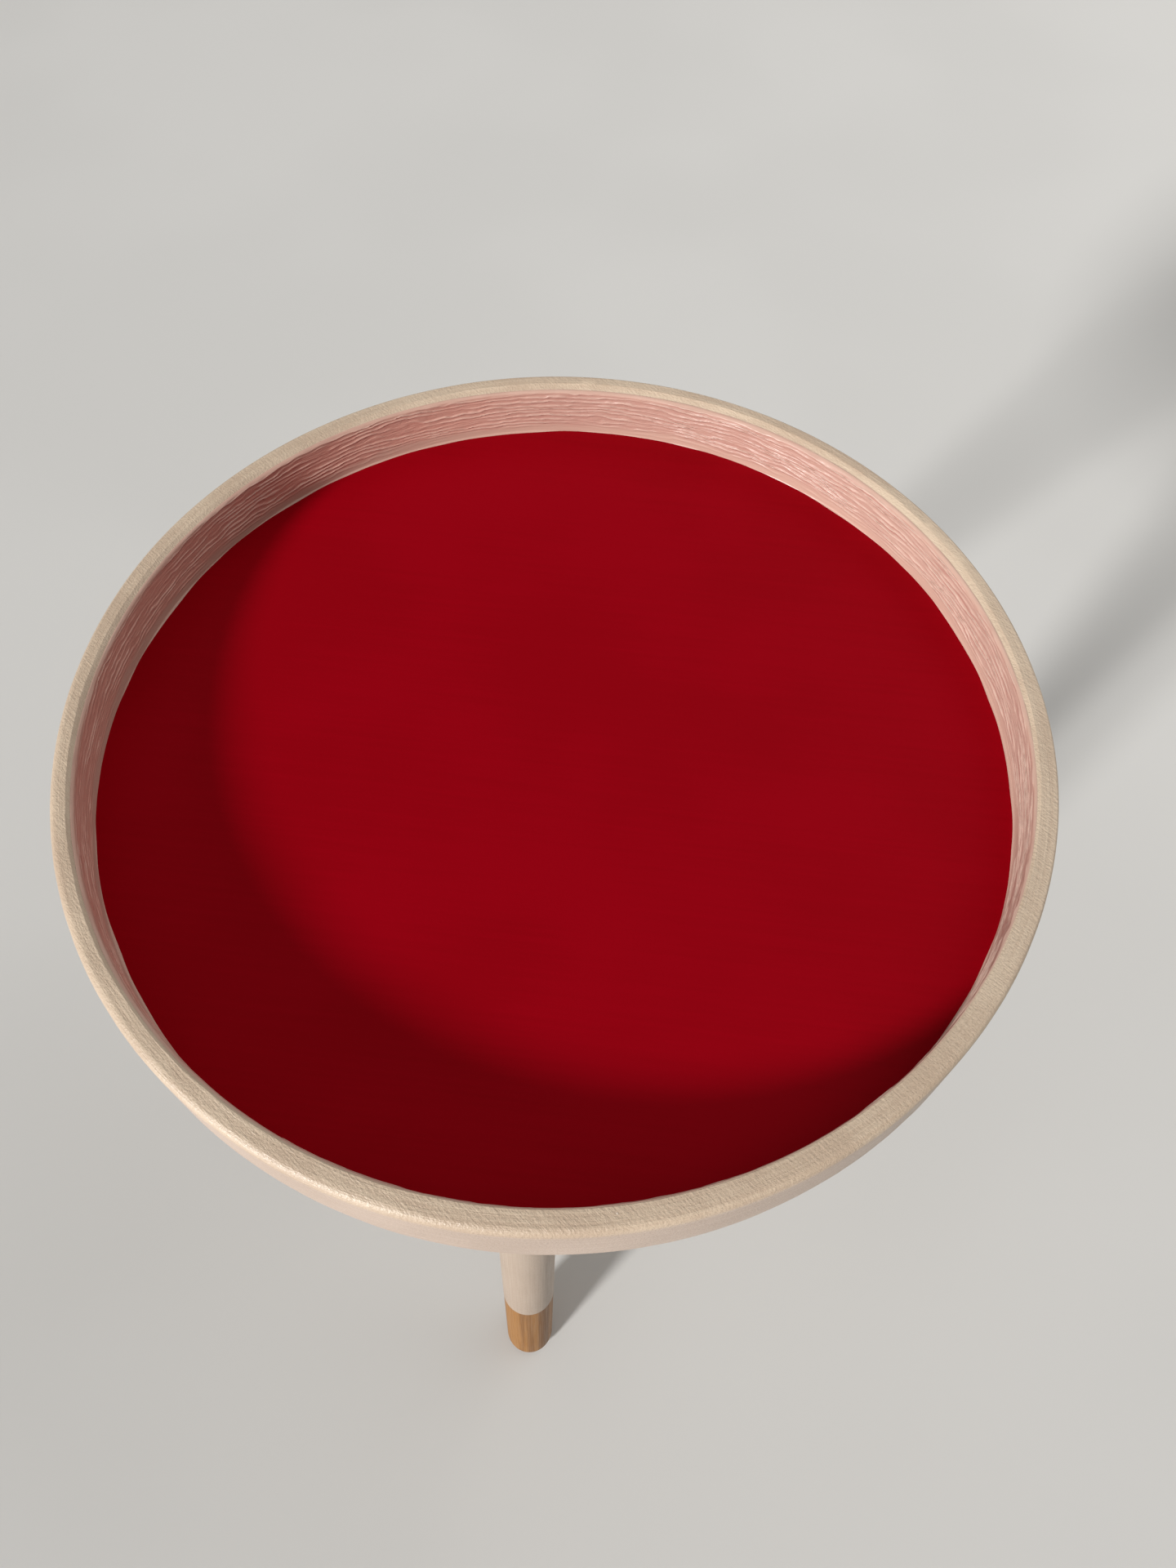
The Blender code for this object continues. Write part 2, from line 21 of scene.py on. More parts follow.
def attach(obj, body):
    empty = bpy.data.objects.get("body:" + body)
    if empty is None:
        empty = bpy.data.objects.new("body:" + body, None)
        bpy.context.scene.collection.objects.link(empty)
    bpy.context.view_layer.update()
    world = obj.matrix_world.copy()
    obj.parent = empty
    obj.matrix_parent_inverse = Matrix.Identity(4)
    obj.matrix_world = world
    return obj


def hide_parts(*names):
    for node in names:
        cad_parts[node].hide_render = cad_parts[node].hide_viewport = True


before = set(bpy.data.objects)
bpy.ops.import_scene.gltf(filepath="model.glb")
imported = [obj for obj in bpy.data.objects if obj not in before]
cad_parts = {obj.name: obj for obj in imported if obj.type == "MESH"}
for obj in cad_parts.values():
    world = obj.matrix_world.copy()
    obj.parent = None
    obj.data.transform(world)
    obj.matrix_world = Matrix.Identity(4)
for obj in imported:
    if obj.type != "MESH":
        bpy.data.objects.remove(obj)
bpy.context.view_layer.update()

LOG = logging.getLogger("side_table")
BODY = "root"
IDENTITY = Matrix.Identity(4)
MERGE_DISTANCE = 1e-7
CUT_OVERRUN = 0.002
SHARP_ANGLE = math.radians(35)
LEVEL = 0.99

Point = tuple[float, float, float]
Pair = tuple[float, float]
Profile = list[Pair]
Waves = tuple[tuple[float, float, float], ...]
Shade = tuple[int, int, int]
Socket = bpy.types.NodeSocket
Feed = Any


# Named choices


class Station(Enum):
    """Where each leg stands, by its turn from +X in degrees."""

    FRONT = -90.0
    BACK_LEFT = 150.0
    BACK_RIGHT = 30.0

    @property
    def side(self) -> str:
        """The side's name, as it ends the names of the leg's parts."""
        return self.name.lower()

    @property
    def turn(self) -> Matrix:
        """Turns a leg's own frame, whose +X points outwards, to its place."""
        return Matrix.Rotation(math.radians(self.value), 4, "Z")


class Slot(Enum):
    """The record's material slots."""

    SAND = "sand_paint"
    CORAL = "coral_paint"
    RED = "red_paint"
    PLYWOOD = "plywood"
    ZINC = "zinc_plate"
    STEEL = "bright_steel"
    PLASTIC = "white_plastic"


class GrainRun(Enum):
    """Which way a pattern of fine lines runs on a piece."""

    ROUND_THE_RIM = "round_the_rim"
    ALONG_THE_LEG = "along_the_leg"
    ACROSS_THE_BOARD = "across_the_board"


# Sizes of the whole table


@dataclass(frozen=True)
class TableSizes:
    """The table's main sizes, as its CAD has them."""

    height: float = 0.590
    tray_radius: float = 0.245
    rim_height: float = 0.040
    rim_wall: float = 0.0126
    rebate_width: float = 0.0060
    tray_depth: float = 0.0327
    floor_thickness: float = 0.0060
    disc_radius: float = 0.180
    disc_thickness: float = 0.0120
    plate_thickness: float = 0.0030
    leg_lean: float = math.radians(8)
    foot_circle_radius: float = 0.2125
    foot_bottom: float = 0.0025
    leg_length: float = 0.5326521
    leg_foot_radius: float = 0.0180
    leg_top_radius: float = 0.0210
    clearance: float = 0.0003

    @property
    def wall_radius(self) -> float:
        """Radius of the rim's inner wall."""
        return self.tray_radius - self.rim_wall

    @property
    def rebate_radius(self) -> float:
        """Radius of the rebate that the tray's floor sits in."""
        return self.wall_radius + self.rebate_width

    @property
    def rim_bottom(self) -> float:
        """Height of the rim's foot."""
        return self.height - self.rim_height

    @property
    def floor_top(self) -> float:
        """Height of the tray floor's painted face."""
        return self.height - self.tray_depth

    @property
    def floor_bottom(self) -> float:
        """Height of the tray floor's underside."""
        return self.floor_top - self.floor_thickness

    @property
    def disc_top(self) -> float:
        """Height of the support disc's top."""
        return self.floor_bottom - self.clearance

    @property
    def disc_bottom(self) -> float:
        """Height of the support disc's underside."""
        return self.disc_top - self.disc_thickness

    @property
    def plate_top(self) -> float:
        """Height of the leg plates' top."""
        return self.disc_bottom - self.clearance

    @property
    def plate_bottom(self) -> float:
        """Height of the leg plates' underside."""
        return self.plate_top - self.plate_thickness

    @property
    def plate_radius(self) -> float:
        """How far the middle of a leg plate is from the table's axis."""
        return self.foot_circle_radius - self.plate_bottom * math.tan(self.leg_lean)


TABLE = TableSizes()


# Node trees


@dataclass(frozen=True)
class Wire:
    """What one node gives to others. Arithmetic with it adds nodes to its tree."""

    wiring: Wiring
    socket: Socket

    def __add__(self, other: Feed) -> Wire:
        """The two added up."""
        return self.wiring.math("ADD", self, other)

    def __sub__(self, other: Feed) -> Wire:
        """This less the other."""
        return self.wiring.math("SUBTRACT", self, other)

    def __rsub__(self, other: Feed) -> Wire:
        """The other less this."""
        return self.wiring.math("SUBTRACT", other, self)

    def __mul__(self, other: Feed) -> Wire:
        """The two multiplied."""
        return self.wiring.math("MULTIPLY", self, other)

    def __truediv__(self, other: Feed) -> Wire:
        """This divided by the other."""
        return self.wiring.math("DIVIDE", self, other)

    def __rtruediv__(self, other: Feed) -> Wire:
        """The other divided by this."""
        return self.wiring.math("DIVIDE", other, self)

    def __neg__(self) -> Wire:
        """This with its sign changed."""
        return self.wiring.math("MULTIPLY", self, -1.0)


@dataclass(frozen=True)
class Wiring:
    """Adds nodes to one tree and joins them up."""

    tree: bpy.types.NodeTree

    @staticmethod
    def port(ports: Any, key: str) -> Socket:
        """The socket with that identifier, or else the first with that name."""
        named = [port for port in ports if key in (port.identifier, port.name)]
        return next((port for port in named if port.identifier == key), named[0])

    def feed(self, node: Any, feeds: Mapping[str, Feed]) -> None:
        """Gives a node's inputs, by identifier or name, each a wire or a constant.

        Args:
            node: The node.
            feeds: A wire or a constant for each input.
        """
        for key, value in feeds.items():
            port = self.port(node.inputs, key)
            if isinstance(value, Wire):
                self.tree.links.new(value.socket, port)
            else:
                port.default_value = value

    def node(self, kind: str, feeds: Mapping[str, Feed] | None = None, **settings: Any) -> Any:
        """Adds a node.

        Args:
            kind: Blender's name for the kind of node.
            feeds: A wire or a constant for each input, by identifier or name.
            **settings: The node's own properties.

        Returns:
            The new node.
        """
        made = self.tree.nodes.new(kind)
        for name, value in settings.items():
            setattr(made, name, value)
        self.feed(made, feeds or {})
        return made

    def wire(
        self,
        kind: str,
        feeds: Mapping[str, Feed] | None = None,
        output: int | str = 0,
        **settings: Any,
    ) -> Wire:
        """Adds a node as node() does, and gives one of its outputs, by number or name."""
        ports = self.node(kind, feeds, **settings).outputs
        return Wire(self, ports[output] if isinstance(output, int) else self.port(ports, output))

    def math(self, operation: str, first: Feed, second: Feed = 0.0, clamp: bool = False) -> Wire:
        """One step of arithmetic."""
        feeds = {"Value": first, "Value_001": second}
        return self.wire("ShaderNodeMath", feeds, operation=operation, use_clamp=clamp)

    def combine(self, x: Feed, y: Feed, z: Feed) -> Wire:
        """A vector from three numbers."""
        return self.wire("ShaderNodeCombineXYZ", {"X": x, "Y": y, "Z": z})

    def separate(self, vector: Wire) -> tuple[Wire, ...]:
        """A vector's three numbers."""
        ports = self.node("ShaderNodeSeparateXYZ", {"Vector": vector}).outputs
        return tuple(Wire(self, port) for port in ports)

    def stretch(self, vector: Wire, x: Feed, y: Feed, z: Feed) -> Wire:
        """A vector with each of its numbers multiplied."""
        feeds = {"Vector": vector, "Vector_001": self.combine(x, y, z)}
        return self.wire("ShaderNodeVectorMath", feeds, operation="MULTIPLY")

    def scaled(self, vector: Wire, factor: Feed) -> Wire:
        """A vector with all its numbers multiplied by one."""
        feeds = {"Vector": vector, "Scale": factor}
        return self.wire("ShaderNodeVectorMath", feeds, operation="SCALE")

    def moved(self, geometry: Wire, offset: Wire) -> Wire:
        """A geometry with its points shifted."""
        return self.wire("GeometryNodeSetPosition", {"Geometry": geometry, "Offset": offset})

    def from_axis(self, x: Wire, y: Wire) -> Wire:
        """How far a point is from the table's axis."""
        feeds = {"Vector": self.combine(x, y, 0.0)}
        return self.wire("ShaderNodeVectorMath", feeds, "Value", operation="LENGTH")

    def round_the_rim(self, place: Wire, length: float, width: float) -> Wire:
        """Coordinates in which features run round the table's axis.

        Args:
            place: The point's place in the table's frame.
            length: How long a feature is, round the rim.
            width: How wide it is, across the rim or up its sides.

        Returns:
            A vector for a noise of scale 1, without a seam.
        """
        x, y, z = self.separate(place)
        radius = self.from_axis(x, y)
        laps = TABLE.wall_radius / length
        return self.combine(x / radius * laps, y / radius * laps, (radius - z) / width)

    def noise(
        self, vector: Wire, scale: float = 1.0, detail: float = 2.0, roughness: float = 0.5
    ) -> Wire:
        """Soft noise from 0 to 1, mostly near the middle."""
        feeds = {"Vector": vector, "Scale": scale, "Detail": detail, "Roughness": roughness}
        return self.wire("ShaderNodeTexNoise", feeds)

    def remap(
        self, value: Wire, low: float, high: float, to_low: float = 0.0, to_high: float = 1.0
    ) -> Wire:
        """A value eased from one range to another, and held at its ends.

        Args:
            value: What is mapped.
            low: Where the ease starts.
            high: Where it ends.
            to_low: The result at its start.
            to_high: The result at its end.

        Returns:
            The mapped value.
        """
        ends = {"From Min": low, "From Max": high, "To Min": to_low, "To Max": to_high}
        return self.wire("ShaderNodeMapRange", {"Value": value} | ends, interpolation_type="SMOOTHSTEP")

    def mix(self, share: Wire, first: Feed, second: Feed) -> Wire:
        """Two colours mixed, by the second's share."""
        feeds = {"Factor_Float": share, "A_Color": first, "B_Color": second}
        return self.wire("ShaderNodeMix", feeds, "Result_Color", data_type="RGBA")

    def layered(self, base: Wire | Shade, *layers: tuple[Wire, Shade]) -> Wire:
        """A colour with screen colours laid over it in turn, each by its share.

        Args:
            base: The lowest colour.
            *layers: Each layer's share and colour, from below.

        Returns:
            The colour that shows.
        """
        colour = base if isinstance(base, Wire) else seen(base)
        for share, shade in layers:
            colour = self.mix(share, colour, seen(shade))
        return colour

    def bump(self, height: Wire, distance: float) -> Wire:
        """Shading for fine relief, whose depth is the distance."""
        return self.wire("ShaderNodeBump", {"Height": height, "Distance": distance, "Strength": 1.0})

    def specks(self, vector: Wire, spacing: float, radius: float, share: float) -> Wire:
        """Scattered small dots, as 1 in a dot and 0 elsewhere.

        Args:
            vector: The coordinates.
            spacing: About how far apart the places for dots are.
            radius: The dots' radius.
            share: How many of the places hold a dot, from 0 to 1.

        Returns:
            The dots.
        """
        cells = self.node("ShaderNodeTexVoronoi", {"Vector": vector, "Scale": 1 / spacing}).outputs
        near = self.math("LESS_THAN", Wire(self, cells["Distance"]), radius / spacing)
        chance = self.separate(Wire(self, cells["Color"]))[0]
        return near * self.math("LESS_THAN", chance, share)


@dataclass(frozen=True)
class Strokes:
    """Brush strokes round the rim's wall: long wavy ridges with furrows between them."""

    length: Feed = 0.024
    width: Feed = 0.0028
    wander: Feed = 0.0110
    drift_size: Pair = (0.055, 0.015)
    chop_size: Pair = (0.008, 0.006)
    patch_size: Pair = (0.030, 0.005)
    calming_range: Pair = (0.04, 0.17)
    most_chop: float = 0.26
    least_chop: float = 0.12
    patch_range: Pair = (0.37, 0.60)
    least_worked: float = 0.08
    ridge_range: Pair = (0.20, 0.95)
    furrow_range: Pair = (-0.10, -0.90)
    bristle_range: Pair = (0.36, 0.64)
    bristle_share: float = 0.30

    def fields(self, wiring: Wiring, place: Wire) -> tuple[Wire, Wire, Wire]:
        """Where the strokes are.

        Args:
            wiring: The tree.
            place: The point's place on the unbrushed wall.

        Returns:
            The ridges, the furrows between them and the bristles' lines, each from 0 to 1.
        """
        drift = wiring.noise(wiring.round_the_rim(place, *self.drift_size))
        chop = wiring.noise(wiring.round_the_rim(place, *self.chop_size), detail=1.0)
        patches = wiring.noise(wiring.round_the_rim(place, *self.patch_size))
        east = wiring.separate(place)[0]
        choppy = wiring.remap(east, *self.calming_range, self.most_chop, self.least_chop)
        lift = (drift + (chop - 0.5) * choppy - 0.5) * self.wander
        feeds = {"Vector": place, "Vector_001": wiring.combine(0.0, 0.0, lift)}
        swayed = wiring.wire("ShaderNodeVectorMath", feeds, operation="ADD")
        unit = wiring.round_the_rim(swayed, 1.0, 1.0)
        wave = wiring.math("COSINE", wiring.separate(unit)[2] / self.width * math.tau)
        worked = wiring.remap(patches, *self.patch_range, self.least_worked, 1.0)
        ridge = wiring.remap(wave, *self.ridge_range) * worked
        furrow = wiring.remap(wave, *self.furrow_range) * worked
        long = 1.0 / (self.length * self.bristle_share)
        wide = 1.0 / (self.width * self.bristle_share)
        fine = wiring.noise(wiring.stretch(unit, long, long, wide), roughness=0.6)
        return ridge, furrow, wiring.remap(fine, *self.bristle_range)


INPUT_KINDS = (
    (bpy.types.Object, "Object"),
    (bpy.types.Material, "Material"),
    (tuple, "Vector"),
    (int, "Int"),
    (float, "Float"),
)


def geometry_tree(name: str, values: Mapping[str, Feed]) -> tuple[Wiring, dict[str, Wire]]:
    """Starts a geometry tree that takes and gives a geometry, with an input for each value.

    Args:
        name: The tree's name.
        values: What it will be used with, by the inputs' names. Their types give the kinds.

    Returns:
        The tree's wiring and its inputs by name.
    """
    tree = bpy.data.node_groups.new(name, "GeometryNodeTree")
    tree.interface.new_socket(name="Geometry", in_out="INPUT", socket_type="NodeSocketGeometry")
    for label, value in values.items():
        kind = next(kind for known, kind in INPUT_KINDS if isinstance(value, known))
        tree.interface.new_socket(name=label, in_out="INPUT", socket_type=f"NodeSocket{kind}")
    tree.interface.new_socket(name="Geometry", in_out="OUTPUT", socket_type="NodeSocketGeometry")
    wiring = Wiring(tree)
    ports = tree.nodes.new("NodeGroupInput").outputs
    return wiring, {port.name: Wire(wiring, port) for port in ports if port.name}


def end_tree(wiring: Wiring, geometry: Wire, material: Wire) -> bpy.types.NodeTree:
    """Ends a geometry tree with its instances made real and its material set.

    Args:
        wiring: The tree.
        geometry: What it makes.
        material: Its material.

    Returns:
        The finished tree.
    """
    real = wiring.wire("GeometryNodeRealizeInstances", {"Geometry": geometry})
    dressed = wiring.wire("GeometryNodeSetMaterial", {"Geometry": real, "Material": material})
    wiring.node("NodeGroupOutput", {"Geometry": dressed})
    return wiring.tree


def labelled(thing: Any, *names: str) -> dict[str, Feed]:
    """Some of a thing's values under their names as labels, such as Wander Length."""
    return {name.replace("_", " ").title(): getattr(thing, name) for name in names}


def linked(name: str, data: bpy.types.ID) -> bpy.types.Object:
    """A new object of the scene.

    Args:
        name: Its name.
        data: Its mesh, lamp or camera.

    Returns:
        The object.
    """
    thing = bpy.data.objects.new(name, data)
    bpy.context.scene.collection.objects.link(thing)
    return thing


def grown(
    tree: bpy.types.NodeTree, values: Mapping[str, Feed], base: bpy.types.Mesh | None = None
) -> bpy.types.Mesh:
    """The plain mesh that a geometry tree makes.

    Args:
        tree: The geometry tree.
        values: What each named input is set to.
        base: The mesh that the tree starts from, where it starts from one.

    Returns:
        The made mesh, with every attribute that the tree stored.
    """
    carrier = linked("carrier", base or bpy.data.meshes.new("carrier"))
    modifier = carrier.modifiers.new("shape", "NODES")
    modifier.node_group = tree
    for item in tree.interface.items_tree:
        if item.item_type == "SOCKET" and item.in_out == "INPUT" and item.name in values:
            modifier[item.identifier] = values[item.name]
    graph = bpy.context.evaluated_depsgraph_get()
    made = bpy.data.meshes.new_from_object(
        carrier.evaluated_get(graph), preserve_all_data_layers=True, depsgraph=graph
    )
    carrier.modifiers.remove(modifier)
    bpy.data.objects.remove(carrier)
    return made


# Meshes


def arc(centre: Pair, radius: float, start: float, end: float, steps: int) -> Profile:
    """Points of a profile round a corner.

    Args:
        centre: The corner's centre, as radius and height.
        radius: The corner's own radius.
        start: The first point's angle in degrees.
        end: The last point's angle in degrees.
        steps: How many steps lie between them.

    Returns:
        The points, as radius and height.
    """
    turns = [math.radians(start + (end - start) * step / steps) for step in range(steps + 1)]
    return [(centre[0] + radius * math.cos(t), centre[1] + radius * math.sin(t)) for t in turns]


def closed(shape: bmesh.types.BMesh) -> bpy.types.Mesh:
    """The bmesh as a mesh whose faces point out.

    Args:
        shape: The bmesh, which is used up.

    Returns:
        The mesh.
    """
    bmesh.ops.remove_doubles(shape, verts=shape.verts, dist=MERGE_DISTANCE)
    bmesh.ops.recalc_face_normals(shape, faces=shape.faces)
    mesh = bpy.data.meshes.new("shape")
    shape.to_mesh(mesh)
    shape.free()
    return mesh


def lofted(rings: Sequence[Sequence[Point]], looped: bool = False) -> bpy.types.Mesh:
    """A closed mesh through rings of points.

    Args:
        rings: The rings, with as many points each. A ring of one point is a pole.
        looped: Whether the last ring joins the first. If not, both ends are closed.

    Returns:
        The mesh.
    """
    shape = bmesh.new()
    rows = [[shape.verts.new(point) for point in ring] for ring in rings]
    pairs = list(zip(rows, rows[1:]))
    if looped:
        pairs.append((rows[-1], rows[0]))
    for low, high in pairs:
        for index in range(max(len(low), len(high))):
            after = index + 1
            corners = (
                low[index % len(low)],
                low[after % len(low)],
                high[after % len(high)],
                high[index % len(high)],
            )
            shape.faces.new(tuple(dict.fromkeys(corners)))
    if not looped:
        for ring in (rows[0], rows[-1]):
            if len(ring) > 1:
                shape.faces.new(ring)
    return closed(shape)


def turned(profile: Profile, facets: int, place: Matrix = IDENTITY) -> bpy.types.Mesh:
    """A closed mesh turned about Z.

    Args:
        profile: Radius and height of each point. It is looped unless it starts on the axis.
        facets: How many sides it has.
        place: Where it is put.

    Returns:
        The mesh.
    """
    turns = [math.tau * index / facets for index in range(facets)]
    rings = []
    for radius, height in profile:
        around = turns if radius > MERGE_DISTANCE else [0.0]
        points = [Vector((radius * math.cos(t), radius * math.sin(t), height)) for t in around]
        rings.append([tuple(place @ point) for point in points])
    return lofted(rings, looped=len(rings[0]) > 1)


def joined(*meshes: bpy.types.Mesh, places: Sequence[Matrix] = (IDENTITY,)) -> bpy.types.Mesh:
    """One mesh of every given mesh at every given place.

    Args:
        *meshes: The meshes.
        places: Where each of them goes.

    Returns:
        The one mesh.
    """
    shape = bmesh.new()
    for mesh in meshes:
        for place in places:
            before = len(shape.verts)
            shape.from_mesh(mesh)
            shape.verts.ensure_lookup_table()
            bmesh.ops.transform(shape, matrix=place, verts=shape.verts[before:])
    return closed(shape)


def combined(mesh: bpy.types.Mesh, tool: bpy.types.Mesh, operation: str) -> bpy.types.Mesh:
    """The mesh after a Boolean: DIFFERENCE cuts the tool out, UNION joins it on.

    Args:
        mesh: What is changed.
        tool: The other mesh.
        operation: The Boolean's kind.

    Returns:
        The changed mesh.
    """
    body, other = linked("body", mesh), linked("tool", tool)
    boolean = body.modifiers.new("boolean", "BOOLEAN")
    boolean.operation = operation
    boolean.solver = "EXACT"
    boolean.object = other
    graph = bpy.context.evaluated_depsgraph_get()
    result = bpy.data.meshes.new_from_object(body.evaluated_get(graph), depsgraph=graph)
    bpy.data.objects.remove(body)
    bpy.data.objects.remove(other)
    return result


def cut(mesh: bpy.types.Mesh, *tools: bpy.types.Mesh) -> bpy.types.Mesh:
    """The mesh with each tool cut out of it.

    Args:
        mesh: What is cut.
        *tools: What is cut out.

    Returns:
        What is left.
    """
    for tool in tools:
        mesh = combined(mesh, tool, "DIFFERENCE")
    return mesh


def rod(
    radius: float, low: float, high: float, facets: int, place: Matrix = IDENTITY
) -> bpy.types.Mesh:
    """A plain round bar between two heights, to cut with."""
    return turned([(0, low), (radius, low), (radius, high), (0, high)], facets, place)


def levelled(
    mesh: bpy.types.Mesh, height: float, normal: Vector, edge_round: float, steps: int
) -> bpy.types.Mesh:
    """The part of a mesh on one side of a plane, with a flat face there and a rounded edge.

    Args:
        mesh: The blank.
        height: Where the plane crosses the axis.
        normal: The plane's normal, towards what is kept.
        edge_round: The rounded edge's width.
        steps: How many steps round it.

    Returns:
        The cut mesh.
    """
    shape = bmesh.new()
    shape.from_mesh(mesh)
    result = bmesh.ops.bisect_plane(
        shape,
        geom=shape.verts[:] + shape.edges[:] + shape.faces[:],
        plane_co=(0, 0, height),
        plane_no=normal,
        clear_inner=True,
    )
    edge = [item for item in result["geom_cut"] if isinstance(item, bmesh.types.BMEdge)]
    bmesh.ops.contextual_create(shape, geom=edge)
    bmesh.ops.bevel(
        shape, geom=edge, offset=edge_round, segments=steps, profile=0.5, affect="EDGES"
    )
    return closed(shape)


def store(mesh: bpy.types.Mesh, name: str, kind: str, rule: Callable[[Vector], Any]) -> None:
    """Stores something on each point of a mesh, by a rule from its place.

    Args:
        mesh: The mesh.
        name: The attribute's name.
        kind: FLOAT for a number, FLOAT_VECTOR for a vector.
        rule: Gives a point's value.
    """
    layer = mesh.attributes.new(name, kind, "POINT")
    label = "vector" if kind == "FLOAT_VECTOR" else "value"
    for vertex, entry in zip(mesh.vertices, layer.data):
        setattr(entry, label, rule(vertex.co))


def waves(turn: float, parts: Waves) -> float:
    """Sine waves round the rim added up, each as its size, its count and where it starts."""
    return sum(size * math.sin(count * turn + start) for size, count, start in parts)


def eased(value: float, low: float, high: float) -> float:
    """How far a value is from low to high, from 0 to 1 with soft ends."""
    share = min(1.0, max(0.0, (value - low) / (high - low)))
    return share * share * (3 - 2 * share)


def piece(
    name: str,
    mesh: bpy.types.Mesh,
    materials: Sequence[bpy.types.Material],
    nodes: Sequence[str],
) -> bpy.types.Object:
    """Links a finished piece, which rides on the table and stands for CAD nodes.

    Args:
        name: The piece's name.
        mesh: Its mesh, in the table's frame.
        materials: Its materials, in the order of the mesh's material numbers.
        nodes: The CAD nodes that it stands for.

    Returns:
        The piece.
    """
    mesh.name = name
    numbers = [face.material_index for face in mesh.polygons]
    mesh.materials.clear()
    for material in materials:
        mesh.materials.append(material)
    mesh.polygons.foreach_set("material_index", numbers)
    mesh.shade_smooth()
    mesh.set_sharp_from_angle(angle=SHARP_ANGLE)
    thing = linked(name, mesh)
    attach(thing, BODY)
    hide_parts(*nodes)
    return thing


# Finishes


def linear(level: float) -> float:
    """One screen colour level, 0 to 255, as linear light."""
    share = level / 255
    return share / 12.92 if share <= 0.04045 else ((share + 0.055) / 1.055) ** 2.4


def seen(shade: Shade) -> tuple[float, float, float, float]:
    """A screen colour as a linear colour for a shader."""
    red, green, blue = (linear(level) for level in shade)
    return (red, green, blue, 1.0)


@dataclass(frozen=True)
class Finish:
    """A surface finish, made as a node material."""

    name: str
    roughness: float = 0.5
    specular: float = 0.5
    metallic: float = 0.0
    run: GrainRun = GrainRun.ACROSS_THE_BOARD

    def material(self) -> bpy.types.Material:
        """Makes the material, with its constants on the shader's own sockets.

        Returns:
            The material.
        """
        made = bpy.data.materials.new(self.name)
        made.use_nodes = True
        made.node_tree.nodes.clear()
        wiring = Wiring(made.node_tree)
        constants = {
            "Roughness": self.roughness,
            "Specular IOR Level": self.specular,
            "Metallic": self.metallic,
        }
        shader = wiring.node("ShaderNodeBsdfPrincipled", constants)
        wiring.feed(shader, self.looks(wiring))
        wiring.node("ShaderNodeOutputMaterial", {"Surface": Wire(wiring, shader.outputs["BSDF"])})
        return made

    def looks(self, wiring: Wiring) -> dict[str, Wire]:
        """What the finish feeds into the shader's inputs, by name."""
        raise NotImplementedError

    @staticmethod
    def place(wiring: Wiring) -> Wire:
        """The point's place in the table's frame."""
        return wiring.wire("ShaderNodeTexCoord", output="Object")

    @staticmethod
    def stored(wiring: Wiring, name: str, kind: str = "Fac") -> Wire:
        """An attribute that the piece's mesh carries."""
        return wiring.wire("ShaderNodeAttribute", output=kind, attribute_name=name)

    def streaks(self, wiring: Wiring, length: float, width: float, detail: float = 2.0) -> Wire:
        """Soft noise drawn out along the finish's grain.

        Args:
            wiring: The material's tree.
            length: How long a streak is.
            width: How wide it is.
            detail: How much finer noise it has in it.

        Returns:
            The noise, from 0 to 1.
        """
        if self.run is GrainRun.ROUND_THE_RIM:
            lines = wiring.round_the_rim(self.place(wiring), length, width)
        elif self.run is GrainRun.ALONG_THE_LEG:
            along = self.stored(wiring, "leg_frame", "Vector")
            lines = wiring.stretch(along, 1 / width, 1 / width, 1 / length)
        else:
            lines = wiring.stretch(self.place(wiring), 1 / length, 1 / width, 1 / width)
        return wiring.noise(lines, detail=detail)


